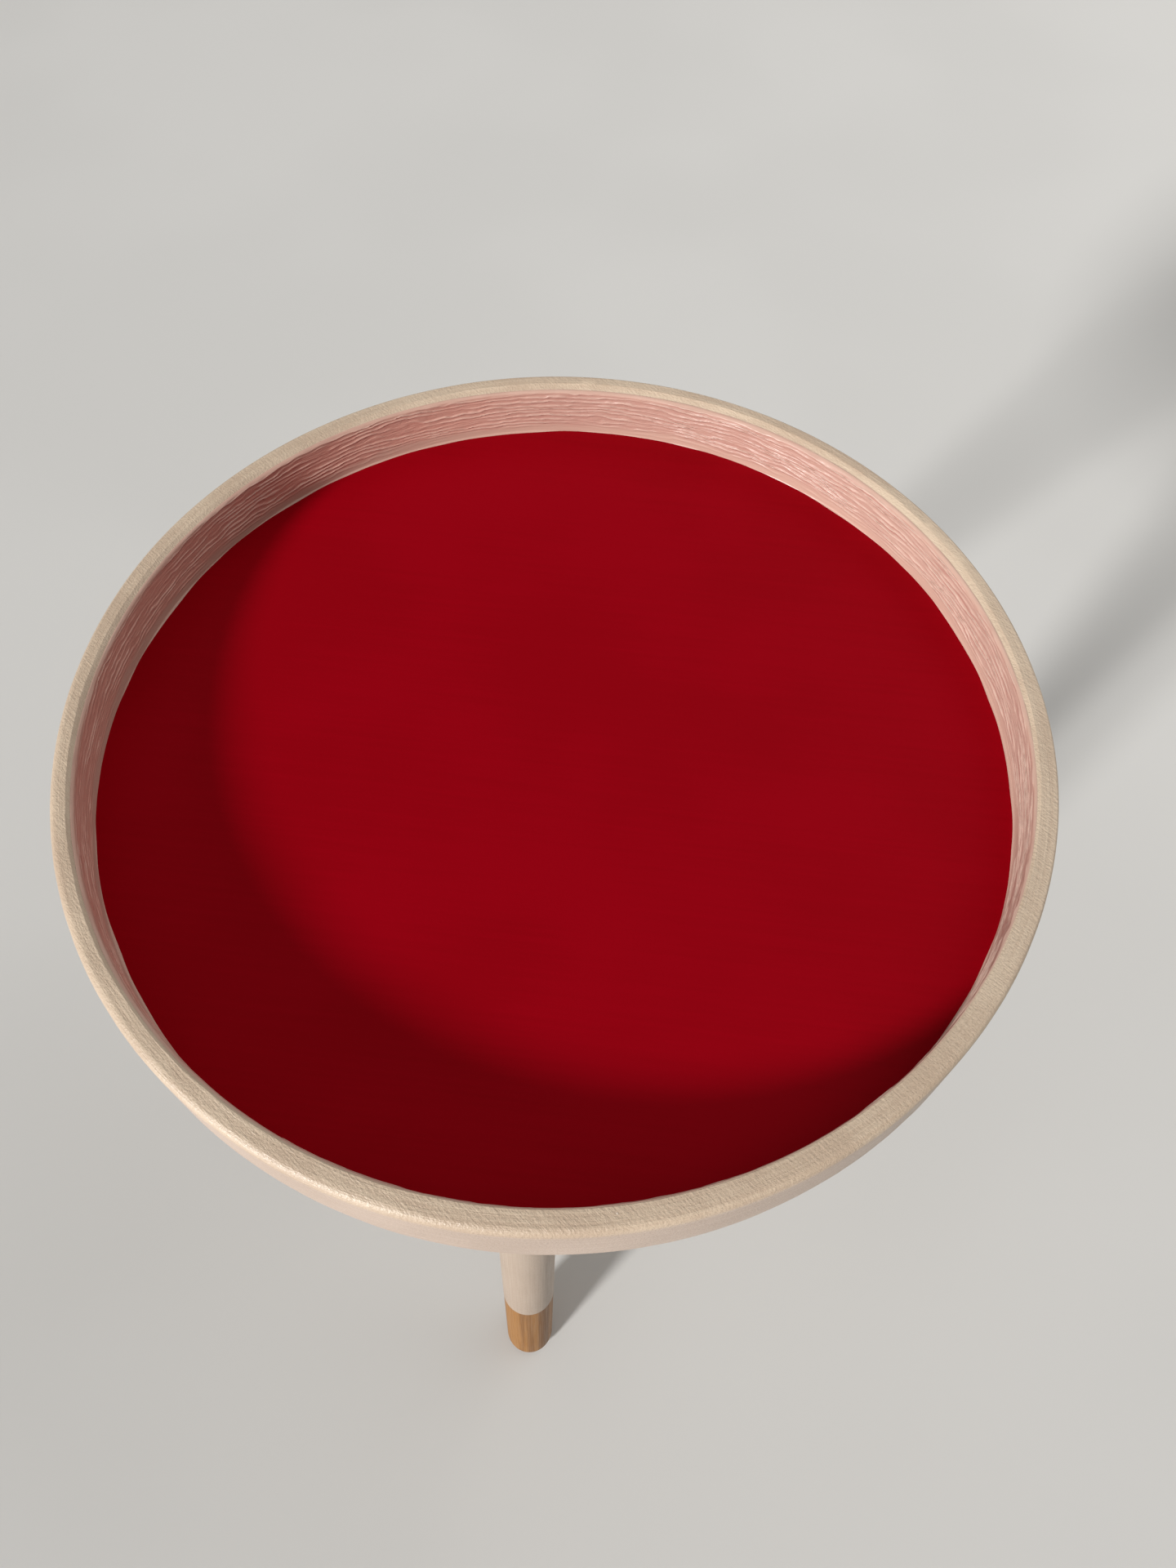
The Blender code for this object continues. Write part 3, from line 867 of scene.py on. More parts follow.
@dataclass(frozen=True)
class SandPaint(Finish):
    """Satin paint on wood, with the grain faintly through it and small nibs and pits. The nibs carry
    painted glints and the pits painted shade. Below the edge the colours are pinker and darker, and the
    darkening is painted shade.
    """

    run: GrainRun = GrainRun.ROUND_THE_RIM
    light: Shade = (199, 178, 154)
    dark: Shade = (184, 161, 138)
    # Colours below low_height, on the rim's side and the legs: pinker than the top, and darker as
    # painted shade for faces that the low key light strikes square on.
    low_light: Shade = (188, 167, 151)
    low_dark: Shade = (178, 157, 141)
    low_height: float = TABLE.height - 0.006
    low_fade: float = 0.005
    # Nibs are raised paint, made lighter as painted glints. Pits are made darker as painted shade.
    nib: Shade = (236, 224, 210)
    pit: Shade = (150, 126, 106)
    roughness: float = 0.42
    specular: float = 0.6
    grain_size: Pair = (0.070, 0.0011)
    brush_size: Pair = (0.022, 0.0005)
    blotch: float = 0.045
    nib_spacing: float = 0.009
    nib_radius: float = 0.0004
    pit_spacing: float = 0.0153
    pit_squeeze: float = 1.3
    slant: float = math.radians(38)
    slant_length: float = 0.009
    slant_width: float = 0.0008
    dapple: float = 0.0013
    relief: float = 0.00080

    def looks(self, wiring: Wiring) -> dict[str, Wire]:
        """Tone from blotches and grain, painted glints on the nibs, painted shade in the pits and below
        the edge, and relief from grain and brush lines.

        Args:
            wiring: The material's tree.

        Returns:
            What feeds the shader's inputs, by name.
        """
        place = self.place(wiring)
        height = wiring.separate(place)[2]
        over_edge = wiring.remap(height, self.low_height, self.low_height + self.low_fade)
        blotch = wiring.noise(place, 1 / self.blotch, 3.0)
        grain = self.streaks(wiring, *self.grain_size, 3.0)
        brush = self.streaks(wiring, *self.brush_size)
        dapple = wiring.noise(place, 1 / self.dapple, 3.0, 0.6)
        slanting = (self._slanting(wiring, place) - 0.5) * over_edge
        tone = blotch * 0.50 + grain * 0.35 + brush * 0.15 + slanting * 0.28
        shade = wiring.remap(tone, 0.38, 0.62)
        high = wiring.layered(self.dark, (shade, self.light))
        # The lower colours, darkened as painted shade.
        low = wiring.layered(self.low_dark, (shade, self.low_light))
        nibs = wiring.specks(place, self.nib_spacing, self.nib_radius, 0.10)
        apart = wiring.stretch(place, 1.0, 1.0, self.pit_squeeze)
        pits = wiring.specks(apart, self.pit_spacing, self.nib_radius, 0.08)
        colour = wiring.mix(over_edge, low, high)
        # Painted glints on the nibs and painted shade in the pits.
        colour = wiring.layered(colour, (nibs * 0.55, self.nib), (pits * 0.5, self.pit))
        lines = grain * 0.25 + brush * 0.12 + dapple * 0.50 + slanting * 0.24
        relief = lines + nibs * 0.12 - pits * 0.18
        gloss = wiring.remap(dapple + grain, 0.8, 1.2, self.roughness + 0.08, self.roughness - 0.06)
        return {"Base Color": colour, "Roughness": gloss, "Normal": wiring.bump(relief, self.relief)}

    def _slanting(self, wiring: Wiring, place: Wire) -> Wire:
        """The straight grain that crosses the rim's top at a slant.

        Args:
            wiring: The material's tree.
            place: The point's place.

        Returns:
            The noise, from 0 to 1.
        """
        feeds = {"Vector": place, "Angle": self.slant}
        across = wiring.wire("ShaderNodeVectorRotate", feeds, rotation_type="Z_AXIS")
        narrow = 1 / self.slant_width
        return wiring.noise(wiring.stretch(across, 1 / self.slant_length, narrow, narrow))


@dataclass(frozen=True)
class CoralPaint(Finish):
    """Thick brushed paint, pale on its ridges and deep in its furrows, partly in its own tone and
    partly as painted highlight and painted shade.

    Towards +X, the side that faces the key light, it is paler and well covered with strokes. Towards
    -X, where the wall lies in the key light's shade, it is lighter and warmer as painted fill light.
    """

    # Ridge and furrow colours: partly the paint's own tone, partly painted highlight and painted shade.
    ridge: Shade = (209, 178, 162)
    body: Shade = (181, 140, 126)
    furrow: Shade = (168, 122, 110)
    washed: Shade = (184, 151, 136)
    # Painted fill light: a lighter, warmer tone towards -X, where the wall is in shade.
    shaded: Shade = (197, 144, 128)
    low_band: Shade = (188, 154, 138)
    top_pink: Shade = (189, 155, 138)
    # A slightly darker tone at the wall's foot: partly red paint lapping it, partly painted shade that
    # dims the lit cove.
    foot: Shade = (178, 136, 122)
    roughness: float = 0.42
    band_height: float = 0.0060
    band_fade: float = 0.0020
    band_sway: float = 0.008
    streak_size: Pair = (0.024, 0.0005)
    blotch: float = 0.030
    washed_range: Pair = (0.08, 0.19)
    shaded_range: Pair = (0.0, -0.13)
    top_range: Pair = (TABLE.height - 0.0065, TABLE.height - 0.0020)
    foot_range: Pair = (TABLE.floor_top, TABLE.floor_top + 0.0012)
    relief: float = 0.00045
    strokes: Strokes = Strokes()

    def looks(self, wiring: Wiring) -> dict[str, Wire]:
        """Tone from the strokes and finer streaks, partly painted highlight and painted shade, with a
        plainer band by the floor.

        Args:
            wiring: The material's tree.

        Returns:
            What feeds the shader's inputs, by name.
        """
        place = self.stored(wiring, "rest", "Vector")
        east, _, height = wiring.separate(place)
        mask = wiring.remap(self.stored(wiring, "load"), 0.0, 0.8)
        ridge, furrow, bristle = (part * mask for part in self.strokes.fields(wiring, place))
        streaks = wiring.noise(wiring.round_the_rim(place, *self.streak_size), detail=3.0)
        sunny = wiring.remap(east, *self.washed_range)
        sway = (wiring.noise(place, 1 / self.blotch) - 0.5) * self.band_sway
        above = height - (sway + (TABLE.floor_top + self.band_height))
        colour = wiring.layered(
            self.body,
            (sunny * 0.85, self.washed),
            # Painted fill light on the -X side, which is in shade.
            (wiring.remap(east, *self.shaded_range), self.shaded),
            (wiring.remap(height, *self.top_range) * 0.8, self.top_pink),
            # Furrows, ridges, bristles and streaks: darker and lighter partly as painted shade and
            # painted highlight, more so towards the sunlit +X side.
            (furrow * wiring.remap(sunny, 0.0, 1.0, 0.40, 0.85), self.furrow),
            (ridge * wiring.remap(sunny, 0.0, 1.0, 0.50, 0.85), self.ridge),
            (bristle * 0.12, self.ridge),
            (wiring.remap(streaks, 0.52, 0.70, 0.0, 0.20), self.ridge),
            (wiring.remap(streaks, 0.48, 0.30, 0.0, 0.30), self.furrow),
            (wiring.remap(above, -self.band_fade, self.band_fade, 0.85, 0.0), self.low_band),
            # The darker foot: partly red paint lapping it, partly painted shade.
            (wiring.remap(height, *self.foot_range, 0.45, 0.0), self.foot),
        )
        plain = wiring.remap(above, -self.band_fade, self.band_fade, 0.25, 1.0)
        fine = (streaks * 0.55 + ridge * 0.55 + bristle * 0.20) * plain
        gloss = wiring.remap(streaks, 0.35, 0.65, self.roughness + 0.08, self.roughness - 0.08)
        return {"Base Color": colour, "Roughness": gloss, "Normal": wiring.bump(fine, self.relief)}


@dataclass(frozen=True)
class RedPaint(Finish):
    """Even matt-satin paint, with a trace of roller texture and a few nibs."""

    light: Shade = (143, 0, 15)
    dark: Shade = (138, 0, 13)
    # Dust nibs in the paint, a little lighter. No glint is painted here.
    nib: Shade = (176, 58, 64)
    roughness: float = 0.50
    specular: float = 0.03
    cloud: float = 0.110
    stipple: float = 0.0016
    grain_size: Pair = (0.080, 0.0022)
    nib_spacing: float = 0.060
    nib_radius: float = 0.0006
    relief: float = 0.00005

    def looks(self, wiring: Wiring) -> dict[str, Wire]:
        """Slow clouds in tone, and a stipple in relief.

        Args:
            wiring: The material's tree.

        Returns:
            What feeds the shader's inputs, by name.
        """
        place = self.place(wiring)
        cloud = wiring.noise(place, 1 / self.cloud)
        stipple = wiring.noise(place, 1 / self.stipple)
        wood = self.streaks(wiring, *self.grain_size)
        shade = wiring.remap(cloud * 0.7 + wood * 0.3, 0.38, 0.62)
        nibs = wiring.specks(place, self.nib_spacing, self.nib_radius, 0.45)
        colour = wiring.layered(self.dark, (shade, self.light), (nibs * 0.6, self.nib))
        relief = stipple * 0.6 + wood * 0.5 + nibs
        gloss = wiring.remap(stipple, 0.3, 0.7, self.roughness + 0.05, self.roughness - 0.05)
        return {"Base Color": colour, "Roughness": gloss, "Normal": wiring.bump(relief, self.relief)}


@dataclass(frozen=True)
class BareOak(Finish):
    """Clear-finished oak along the leg, with a painted highlight where its foot is rounded over."""

    run: GrainRun = GrainRun.ALONG_THE_LEG
    light: Shade = (142, 97, 44)
    dark: Shade = (120, 79, 33)
    pore: Shade = (99, 63, 28)
    # Painted highlight on the rounded foot.
    sanded: Shade = (155, 109, 56)
    specular: float = 0.3
    roughness: float = 0.44
    stave_size: Pair = (0.30, 0.0055)
    fibre_size: Pair = (0.040, 0.0009)
    pore_size: Pair = (0.012, 0.00045)
    sanded_range: Pair = (TABLE.foot_bottom, TABLE.foot_bottom + 0.0045)
    relief: float = 0.00020

    def looks(self, wiring: Wiring) -> dict[str, Wire]:
        """Broad staves, fine fibres and dark pores, all along the leg.

        Args:
            wiring: The material's tree.

        Returns:
            What feeds the shader's inputs, by name.
        """
        staves = self.streaks(wiring, *self.stave_size, 1.0)
        fibres = self.streaks(wiring, *self.fibre_size, 3.0)
        pores = wiring.remap(self.streaks(wiring, *self.pore_size, 1.0), 0.62, 0.74, 0.0, 0.35)
        height = wiring.separate(self.place(wiring))[2]
        colour = wiring.layered(
            self.dark,
            (wiring.remap(staves * 0.8 + fibres * 0.2, 0.42, 0.58), self.light),
            (pores, self.pore),
            # Painted highlight on the rounded foot.
            (wiring.remap(height, *self.sanded_range, 0.75, 0.0), self.sanded),
        )
        relief = fibres * 0.4 - pores * 0.8
        gloss = wiring.remap(fibres, 0.35, 0.65, self.roughness + 0.07, self.roughness - 0.05)
        return {"Base Color": colour, "Roughness": gloss, "Normal": wiring.bump(relief, self.relief)}


@dataclass(frozen=True)
class PlywoodFace(Finish):
    """A sanded plywood face: rotary-cut veneer with slow figure and short dark flecks."""

    light: Shade = (218, 191, 152)
    dark: Shade = (196, 164, 122)
    fleck: Shade = (156, 120, 82)
    roughness: float = 0.58
    figure_size: Pair = (0.240, 0.016)
    figure_rings: float = 9.0
    fibre_size: Pair = (0.045, 0.0010)
    fleck_size: Pair = (0.006, 0.0007)
    relief: float = 0.00018

    def looks(self, wiring: Wiring) -> dict[str, Wire]:
        """Broad figure, fine fibres and flecks along the board.

        Args:
            wiring: The material's tree.

        Returns:
            What feeds the shader's inputs, by name.
        """
        figure = self.streaks(wiring, *self.figure_size, 3.0)
        rings = wiring.math("PINGPONG", figure * self.figure_rings, 1.0)
        fibres = self.streaks(wiring, *self.fibre_size, 3.0)
        marks = wiring.remap(self.streaks(wiring, *self.fleck_size, 1.0), 0.64, 0.74, 0.0, 0.5)
        shade = wiring.remap(rings * 0.35 + fibres * 0.65, 0.30, 0.75)
        colour = wiring.layered(self.dark, (shade, self.light), (marks, self.fleck))
        relief = fibres * 0.6 - marks * 0.6
        gloss = wiring.remap(fibres, 0.35, 0.65, self.roughness + 0.06, self.roughness - 0.06)
        return {"Base Color": colour, "Roughness": gloss, "Normal": wiring.bump(relief, self.relief)}


@dataclass(frozen=True)
class PlywoodEdge(Finish):
    """A plywood edge, where the plies show end grain and long grain by turns."""

    run: GrainRun = GrainRun.ROUND_THE_RIM
    long_grain: Shade = (212, 182, 140)
    end_grain: Shade = (168, 130, 88)
    glue: Shade = (120, 88, 58)
    roughness: float = 0.66
    ply: float = 0.0013
    sway: float = 0.0004
    sway_length: float = 0.05
    fibre_size: Pair = (0.012, 0.0004)
    pore: float = 0.0006
    relief: float = 0.00025

    def looks(self, wiring: Wiring) -> dict[str, Wire]:
        """Stripes by height, with a dark glue line between the plies.

        Args:
            wiring: The material's tree.

        Returns:
            What feeds the shader's inputs, by name.
        """
        place = self.place(wiring)
        sway = (wiring.noise(place, 1 / self.sway_length) - 0.5) * self.sway
        turn = wiring.math("PINGPONG", (wiring.separate(place)[2] + sway) / self.ply, 1.0)
        fibres = self.streaks(wiring, *self.fibre_size)
        pores = wiring.noise(place, 1 / self.pore, 1.0)
        mixed = wiring.remap(turn + fibres * 0.2, 0.50, 0.66)
        seam = wiring.remap(wiring.math("ABSOLUTE", turn - 0.5), 0.05, 0.10, 0.6, 0.0)
        colour = wiring.layered(self.long_grain, (mixed, self.end_grain), (seam, self.glue))
        relief = pores * mixed + fibres * 0.5
        return {"Base Color": colour, "Normal": wiring.bump(relief, self.relief)}


@dataclass(frozen=True)
class PlatedSteel(Finish):
    """Plated steel with a soft mottle, fine drawing lines and a few dull spots."""

    light: Shade = (196, 198, 200)
    dark: Shade = (160, 163, 167)
    dull: Shade = (140, 138, 132)
    roughness: float = 0.38
    metallic: float = 1.0
    mottle: float = 0.004
    line_size: Pair = (0.004, 0.0003)
    spot_spacing: float = 0.006
    spot_radius: float = 0.0005
    relief: float = 0.00006

    def looks(self, wiring: Wiring) -> dict[str, Wire]:
        """Tone and gloss from the mottle.

        Args:
            wiring: The material's tree.

        Returns:
            What feeds the shader's inputs, by name.
        """
        place = self.place(wiring)
        mottle = wiring.noise(place, 1 / self.mottle, 3.0)
        fine = self.streaks(wiring, *self.line_size, 1.0)
        spots = wiring.specks(place, self.spot_spacing, self.spot_radius, 0.2)
        shade = wiring.remap(mottle, 0.35, 0.65)
        colour = wiring.layered(self.dark, (shade, self.light), (spots * 0.6, self.dull))
        gloss = wiring.remap(mottle + fine, 0.75, 1.25, self.roughness + 0.12, self.roughness - 0.08)
        relief = fine * 0.5 + mottle * 0.5
        return {"Base Color": colour, "Roughness": gloss, "Normal": wiring.bump(relief, self.relief)}


@dataclass(frozen=True)
class MouldedPlastic(Finish):
    """Hard pale plastic, scuffed grey where it stands on the floor."""

    clean: Shade = (228, 225, 217)
    scuffed: Shade = (178, 172, 162)
    roughness: float = 0.42
    scratch_size: Pair = (0.006, 0.0004)
    scuff_height: float = 0.0006
    relief: float = 0.00008

    def looks(self, wiring: Wiring) -> dict[str, Wire]:
        """Scuffs by height, broken up by fine scratches.

        Args:
            wiring: The material's tree.

        Returns:
            What feeds the shader's inputs, by name.
        """
        scratches = self.streaks(wiring, *self.scratch_size)
        height = wiring.separate(self.place(wiring))[2]
        worn = wiring.remap(height, 0.0, self.scuff_height, 1.0, 0.12) * scratches
        relief = wiring.bump(scratches, self.relief)
        colour = wiring.layered(self.clean, (wiring.remap(worn, 0.1, 0.6), self.scuffed))
        gloss = wiring.remap(worn, 0.0, 0.6, self.roughness, self.roughness + 0.2)
        return {"Base Color": colour, "Roughness": gloss, "Normal": relief}


@dataclass(frozen=True)
class StudioSurface(Finish):
    """The plain pale surface of the studio's floor."""

    light: Shade = (209, 207, 203)
    dark: Shade = (206, 204, 200)
    roughness: float = 0.8
    specular: float = 0.2
    cloud: float = 0.6

    def looks(self, wiring: Wiring) -> dict[str, Wire]:
        """A barely uneven tone."""
        shade = wiring.remap(wiring.noise(self.place(wiring), 1 / self.cloud), 0.4, 0.6)
        return {"Base Color": wiring.layered(self.dark, (shade, self.light))}


class Palette:
    """Makes each finish's material once."""

    def __init__(self) -> None:
        """Starts with nothing made."""
        self._made: dict[str, bpy.types.Material] = {}

    def get(self, finish: Finish) -> bpy.types.Material:
        """The finish's material.

        Args:
            finish: The finish.

        Returns:
            Its material.
        """
        if finish.name not in self._made:
            self._made[finish.name] = finish.material()
        return self._made[finish.name]


RIM_PAINT = SandPaint("rim_sand_paint")
# The legs take the rim's paint, with lower colours darker still: painted shade.
LEG_PAINT = SandPaint(
    "leg_sand_paint",
    run=GrainRun.ALONG_THE_LEG,
    low_light=(168, 150, 133),
    low_dark=(160, 141, 124),
    relief=0.00025,
)
WALL_PAINT = CoralPaint("wall_coral_paint")
FLOOR_PAINT = RedPaint("floor_red_paint")
LEG_TIP = BareOak("leg_tip_oak")
BOARD_FACE = PlywoodFace("plywood_face")
BOARD_EDGE = PlywoodEdge("plywood_edge")
ZINC = PlatedSteel("zinc_plated_steel")
STEEL = PlatedSteel("bright_drawn_steel", light=(206, 206, 208), dark=(176, 177, 180), roughness=0.30)
GLIDE = MouldedPlastic("glide_plastic")


# Fasteners


@dataclass(frozen=True)
class Screw:
    """A countersunk wood screw with a cross recess."""

    head_diameter: float
    head_height: float
    shank_diameter: float
    length: float
    head_land: float = 0.0004
    point: float = 0.0040
    edge_break: float = 0.00015
    recess_width: float = 0.0011
    recess_depth: float = 0.0017
    recess_share: float = 0.62
    recess_steps: tuple[Pair, ...] = ((-1.0, 1.6), (0.0, 1.0), (1.0, 0.35))
    recess_taper: float = 0.4
    tip_radius_share: float = 0.4
    tip_height_share: float = 0.3
    facets: int = 40
    hole_facets: int = 32

    def pattern(self) -> bpy.types.Mesh:
        """The screw, with its head's face on the origin and its shank along +Z.

        Returns:
            The mesh.
        """
        head, shank, edge = self.head_diameter / 2, self.shank_diameter / 2, self.edge_break
        tip = (shank * self.tip_radius_share, self.length - self.point * self.tip_height_share)
        profile = [(0, 0), (head - edge, 0), (head, edge), (head, self.head_land)]
        profile += [(shank, self.head_height), (shank, self.length - self.point), tip, (0, self.length)]
        return cut(turned(profile, self.facets), self._recess_bar(0.0), self._recess_bar(90.0))

    def _recess_bar(self, degrees: float) -> bpy.types.Mesh:
        """One tapered bar of the cross, to cut with.

        Args:
            degrees: Its turn about the screw's axis.

        Returns:
            The mesh.
        """
        reach = self.head_diameter / 2 * self.recess_share
        turn = Matrix.Rotation(math.radians(degrees), 4, "Z")
        rings = []
        for step, share in self.recess_steps:
            x, height = reach * share, self.recess_depth * step
            y = self.recess_width / 2 * (1 - self.recess_taper + self.recess_taper * share)
            corners = ((-x, -y, height), (x, -y, height), (x, y, height), (-x, y, height))
            rings.append([tuple(turn @ Vector(corner)) for corner in corners])
        return lofted(rings)

    def hole(self) -> bpy.types.Mesh:
        """The screw's hole and countersink, with the clearance all round.

        Returns:
            The mesh.
        """
        gap, end = TABLE.clearance, self.length + TABLE.clearance
        head, shank = self.head_diameter / 2 + gap, self.shank_diameter / 2 + gap
        profile = [(0, -CUT_OVERRUN), (head, -CUT_OVERRUN), (head, self.head_land)]
        profile += [(shank, self.head_height), (shank, end), (0, end)]
        return turned(profile, self.hole_facets)


@dataclass(frozen=True)
class Pin:
    """A panel pin with a small flat head."""

    shank_diameter: float = 0.0016
    head_diameter: float = 0.0030
    head_thickness: float = 0.0006
    grip: float = 0.0100
    point: float = 0.0015
    edge_break: float = 0.0001
    facets: int = 24

    @property
    def tip(self) -> float:
        """How far its point is from the floor's underside."""
        return TABLE.floor_thickness + TABLE.clearance + self.grip

    def pattern(self) -> bpy.types.Mesh:
        """The pin, with the floor's underside on the origin and its shank along +Z.

        Returns:
            The mesh.
        """
        head, shank, edge = self.head_diameter / 2, self.shank_diameter / 2, self.edge_break
        top, low = -TABLE.clearance, -TABLE.clearance - self.head_thickness
        profile = [(0, low), (head - edge, low), (head, low + edge), (head, top - edge)]
        profile += [(head - edge, top), (shank, top), (shank, self.tip - self.point), (0, self.tip)]
        return turned(profile, self.facets)

    def hole(self) -> bpy.types.Mesh:
        """The pin's hole, up through the floor and into the rim."""
        radius = self.shank_diameter / 2 + TABLE.clearance
        return rod(radius, -CUT_OVERRUN, self.tip + TABLE.clearance, self.facets)


DISC_SCREW = Screw(head_diameter=0.0080, head_height=0.0026, shank_diameter=0.0040, length=0.0160)
PLATE_SCREW = Screw(head_diameter=0.0074, head_height=0.0024, shank_diameter=0.0036, length=0.0120)
FLOOR_PIN = Pin()


@dataclass(frozen=True)
class Ring:
    """Evenly spaced places on a circle."""

    count: int
    radius: float
    height: float
    first_degrees: float

    def places(self) -> list[Matrix]:
        """Each place, with its own +X pointing outwards.

        Returns:
            The places.
        """
        out = Matrix.Translation((self.radius, 0, self.height))
        first, step = math.radians(self.first_degrees), math.tau / self.count
        return [Matrix.Rotation(first + step * index, 4, "Z") @ out for index in range(self.count)]


class RingMaker:
    """Repeats a pattern round a circle, with a geometry tree."""

    def __init__(self) -> None:
        """Starts without the tree, which the first use makes."""
        self._tree: bpy.types.NodeTree | None = None

    @staticmethod
    def _build(values: Mapping[str, Feed]) -> bpy.types.NodeTree:
        """The tree, with an input for each of the values.

        Args:
            values: What the tree will be used with, by its inputs' names.

        Returns:
            The tree.
        """
        wiring, entry = geometry_tree("fastener_ring", values)
        index = wiring.wire("GeometryNodeInputIndex")
        angle = entry["First Angle"] + index * (math.tau / entry["Count"])
        x = wiring.math("COSINE", angle) * entry["Ring Radius"]
        y = wiring.math("SINE", angle) * entry["Ring Radius"]
        row = wiring.wire("GeometryNodeMeshLine", {"Count": entry["Count"]})
        spots = {"Geometry": row, "Position": wiring.combine(x, y, entry["Ring Height"])}
        chance = {"Min_001": 0.0, "Max_001": entry["Largest Spin"], "Seed": entry["Spin Seed"]}
        spin = wiring.wire("FunctionNodeRandomValue", chance, "Value_001", data_type="FLOAT")
        pattern = wiring.wire("GeometryNodeObjectInfo", {"Object": entry["Pattern"]}, "Geometry")
        copies = {
            "Points": wiring.wire("GeometryNodeSetPosition", spots),
            "Instance": pattern,
            "Rotation": wiring.combine(0.0, 0.0, angle + spin),
        }
        repeated = wiring.wire("GeometryNodeInstanceOnPoints", copies)
        return end_tree(wiring, repeated, entry["Finish"])

    def repeat(
        self, pattern: bpy.types.Mesh, ring: Ring, finish: bpy.types.Material, spin: float, seed: int
    ) -> bpy.types.Mesh:
        """Copies a pattern to each place on a ring.

        Args:
            pattern: The pattern's mesh.
            ring: Where its copies go.
            finish: Their material.
            spin: The largest random turn of a copy about its own axis.
            seed: The seed of those turns.

        Returns:
            One mesh of all the copies.
        """
        model = linked("pattern", pattern)
        values = {
            "Pattern": model,
            "Count": ring.count,
            "Ring Radius": ring.radius,
            "Ring Height": ring.height,
            "First Angle": math.radians(ring.first_degrees),
            "Largest Spin": spin,
            "Spin Seed": seed,
            "Finish": finish,
        }
        if self._tree is None:
            self._tree = self._build(values)
        made = grown(self._tree, values)
        bpy.data.objects.remove(model)
        return made


# Tray


@dataclass(frozen=True)
class HoopCorner:
    """A corner of the hoop's section: its place and how far it is rounded."""

    radius: float
    height: float
    round: float = 0.0


@dataclass(frozen=True)
class HandShaping:
    """How hand work changes the hoop's edges from one side of the rim to the other."""

    lean: float = 0.0023
    lean_angle: float = math.radians(98.9)
    oval: float = 0.0009
    oval_angle: float = math.radians(38.9)
    least_share: float = 0.28
    edge_wander: float = 0.0005
    wander_length: float = 0.022
    fade: float = 0.0022
    reach: float = 0.0140
    softest_angle: float = math.radians(-105.0)
    crisp_range: Pair = (-0.2, 0.6)
    crisp_share: float = 0.70
    crisp_reach: float = 1.05

    def values(self, hoop: TrayHoop) -> dict[str, Feed]:
        """What a tree's inputs for the shaping are set to, by name.

        Args:
            hoop: The hoop whose edges are shaped.

        Returns:
            The values.
        """
        sizes = labelled(hoop, "wall_radius", "slope_width", "slope_drop")
        waves_round = labelled(self, "lean", "lean_angle", "oval", "oval_angle", "least_share")
        edges = labelled(self, "edge_wander", "wander_length", "softest_angle", "crisp_share")
        return sizes | waves_round | edges

    @staticmethod
    def _swing(wiring: Wiring, x: Wire, y: Wire, turn: Wire, count: float = 1.0) -> Wire:
        """A wave round the table's axis that is highest at one turn."""
        return wiring.math("COSINE", (wiring.math("ARCTAN2", y, x) - turn) * count)

    def slope_shift(self, wiring: Wiring, place: Wire, entry: Mapping[str, Wire]) -> Wire:
        """How the inner slope and what it carries grow here and shrink there.

        Args:
            wiring: The tree.
            place: The point's place on the even hoop.
            entry: The tree's inputs, the shaping's among them.

        Returns:
            How far the point moves.
        """
        x, y, z = wiring.separate(place)
        radius, width = wiring.from_axis(x, y), entry["Slope Width"]
        lean = self._swing(wiring, x, y, entry["Lean Angle"])
        oval = self._swing(wiring, x, y, entry["Oval Angle"], 2.0)
        flat = wiring.scaled(wiring.combine(x, y, 0.0), 1.0 / entry["Wander Length"])
        sway = wiring.remap(wiring.noise(flat, detail=3.0, roughness=0.6), 0.0, 1.0, -1.0, 1.0)
        growth = lean * entry["Lean"] + oval * entry["Oval"] + sway * entry["Edge Wander"]
        share = wiring.math("MAXIMUM", growth / width, entry["Least Share"] - 1.0)
        share = share * wiring.remap(z, TABLE.height - self.reach, TABLE.height - self.reach / 3)
        past = radius - entry["Wall Radius"]
        rising = wiring.math("DIVIDE", past, width, clamp=True)
        falling = wiring.math("SUBTRACT", 1.0, (past - width) / self.fade, clamp=True)
        step = wiring.math("MINIMUM", rising, falling) * share * width / radius
        depth = wiring.math("MINIMUM", TABLE.height - z, entry["Slope Drop"])
        return wiring.combine(x * step, y * step, -(depth * share * falling))

    def outer_shift(self, wiring: Wiring, place: Wire, entry: Mapping[str, Wire]) -> Wire:
        """How the outer edge's rounding is drawn towards its corner where it is crisper.

        Args:
            wiring: The tree.
            place: The point's place on the even hoop.
            entry: The tree's inputs, the shaping's and the outer rounding among them.

        Returns:
            How far the point moves.
        """
        x, y, z = wiring.separate(place)
        radius = wiring.from_axis(x, y)
        softness = self._swing(wiring, x, y, entry["Softest Angle"])
        out = TABLE.tray_radius - radius
        down = TABLE.height - TrayHoop.film - z
        reach = entry["Outer Round"] * self.crisp_reach
        near = wiring.math("LESS_THAN", wiring.math("MAXIMUM", out, down), reach)
        share = near * (wiring.remap(softness, *self.crisp_range, 1.0, 0.0) * entry["Crisp Share"])
        step = out * share / radius
        return wiring.combine(x * step, y * step, down * share)


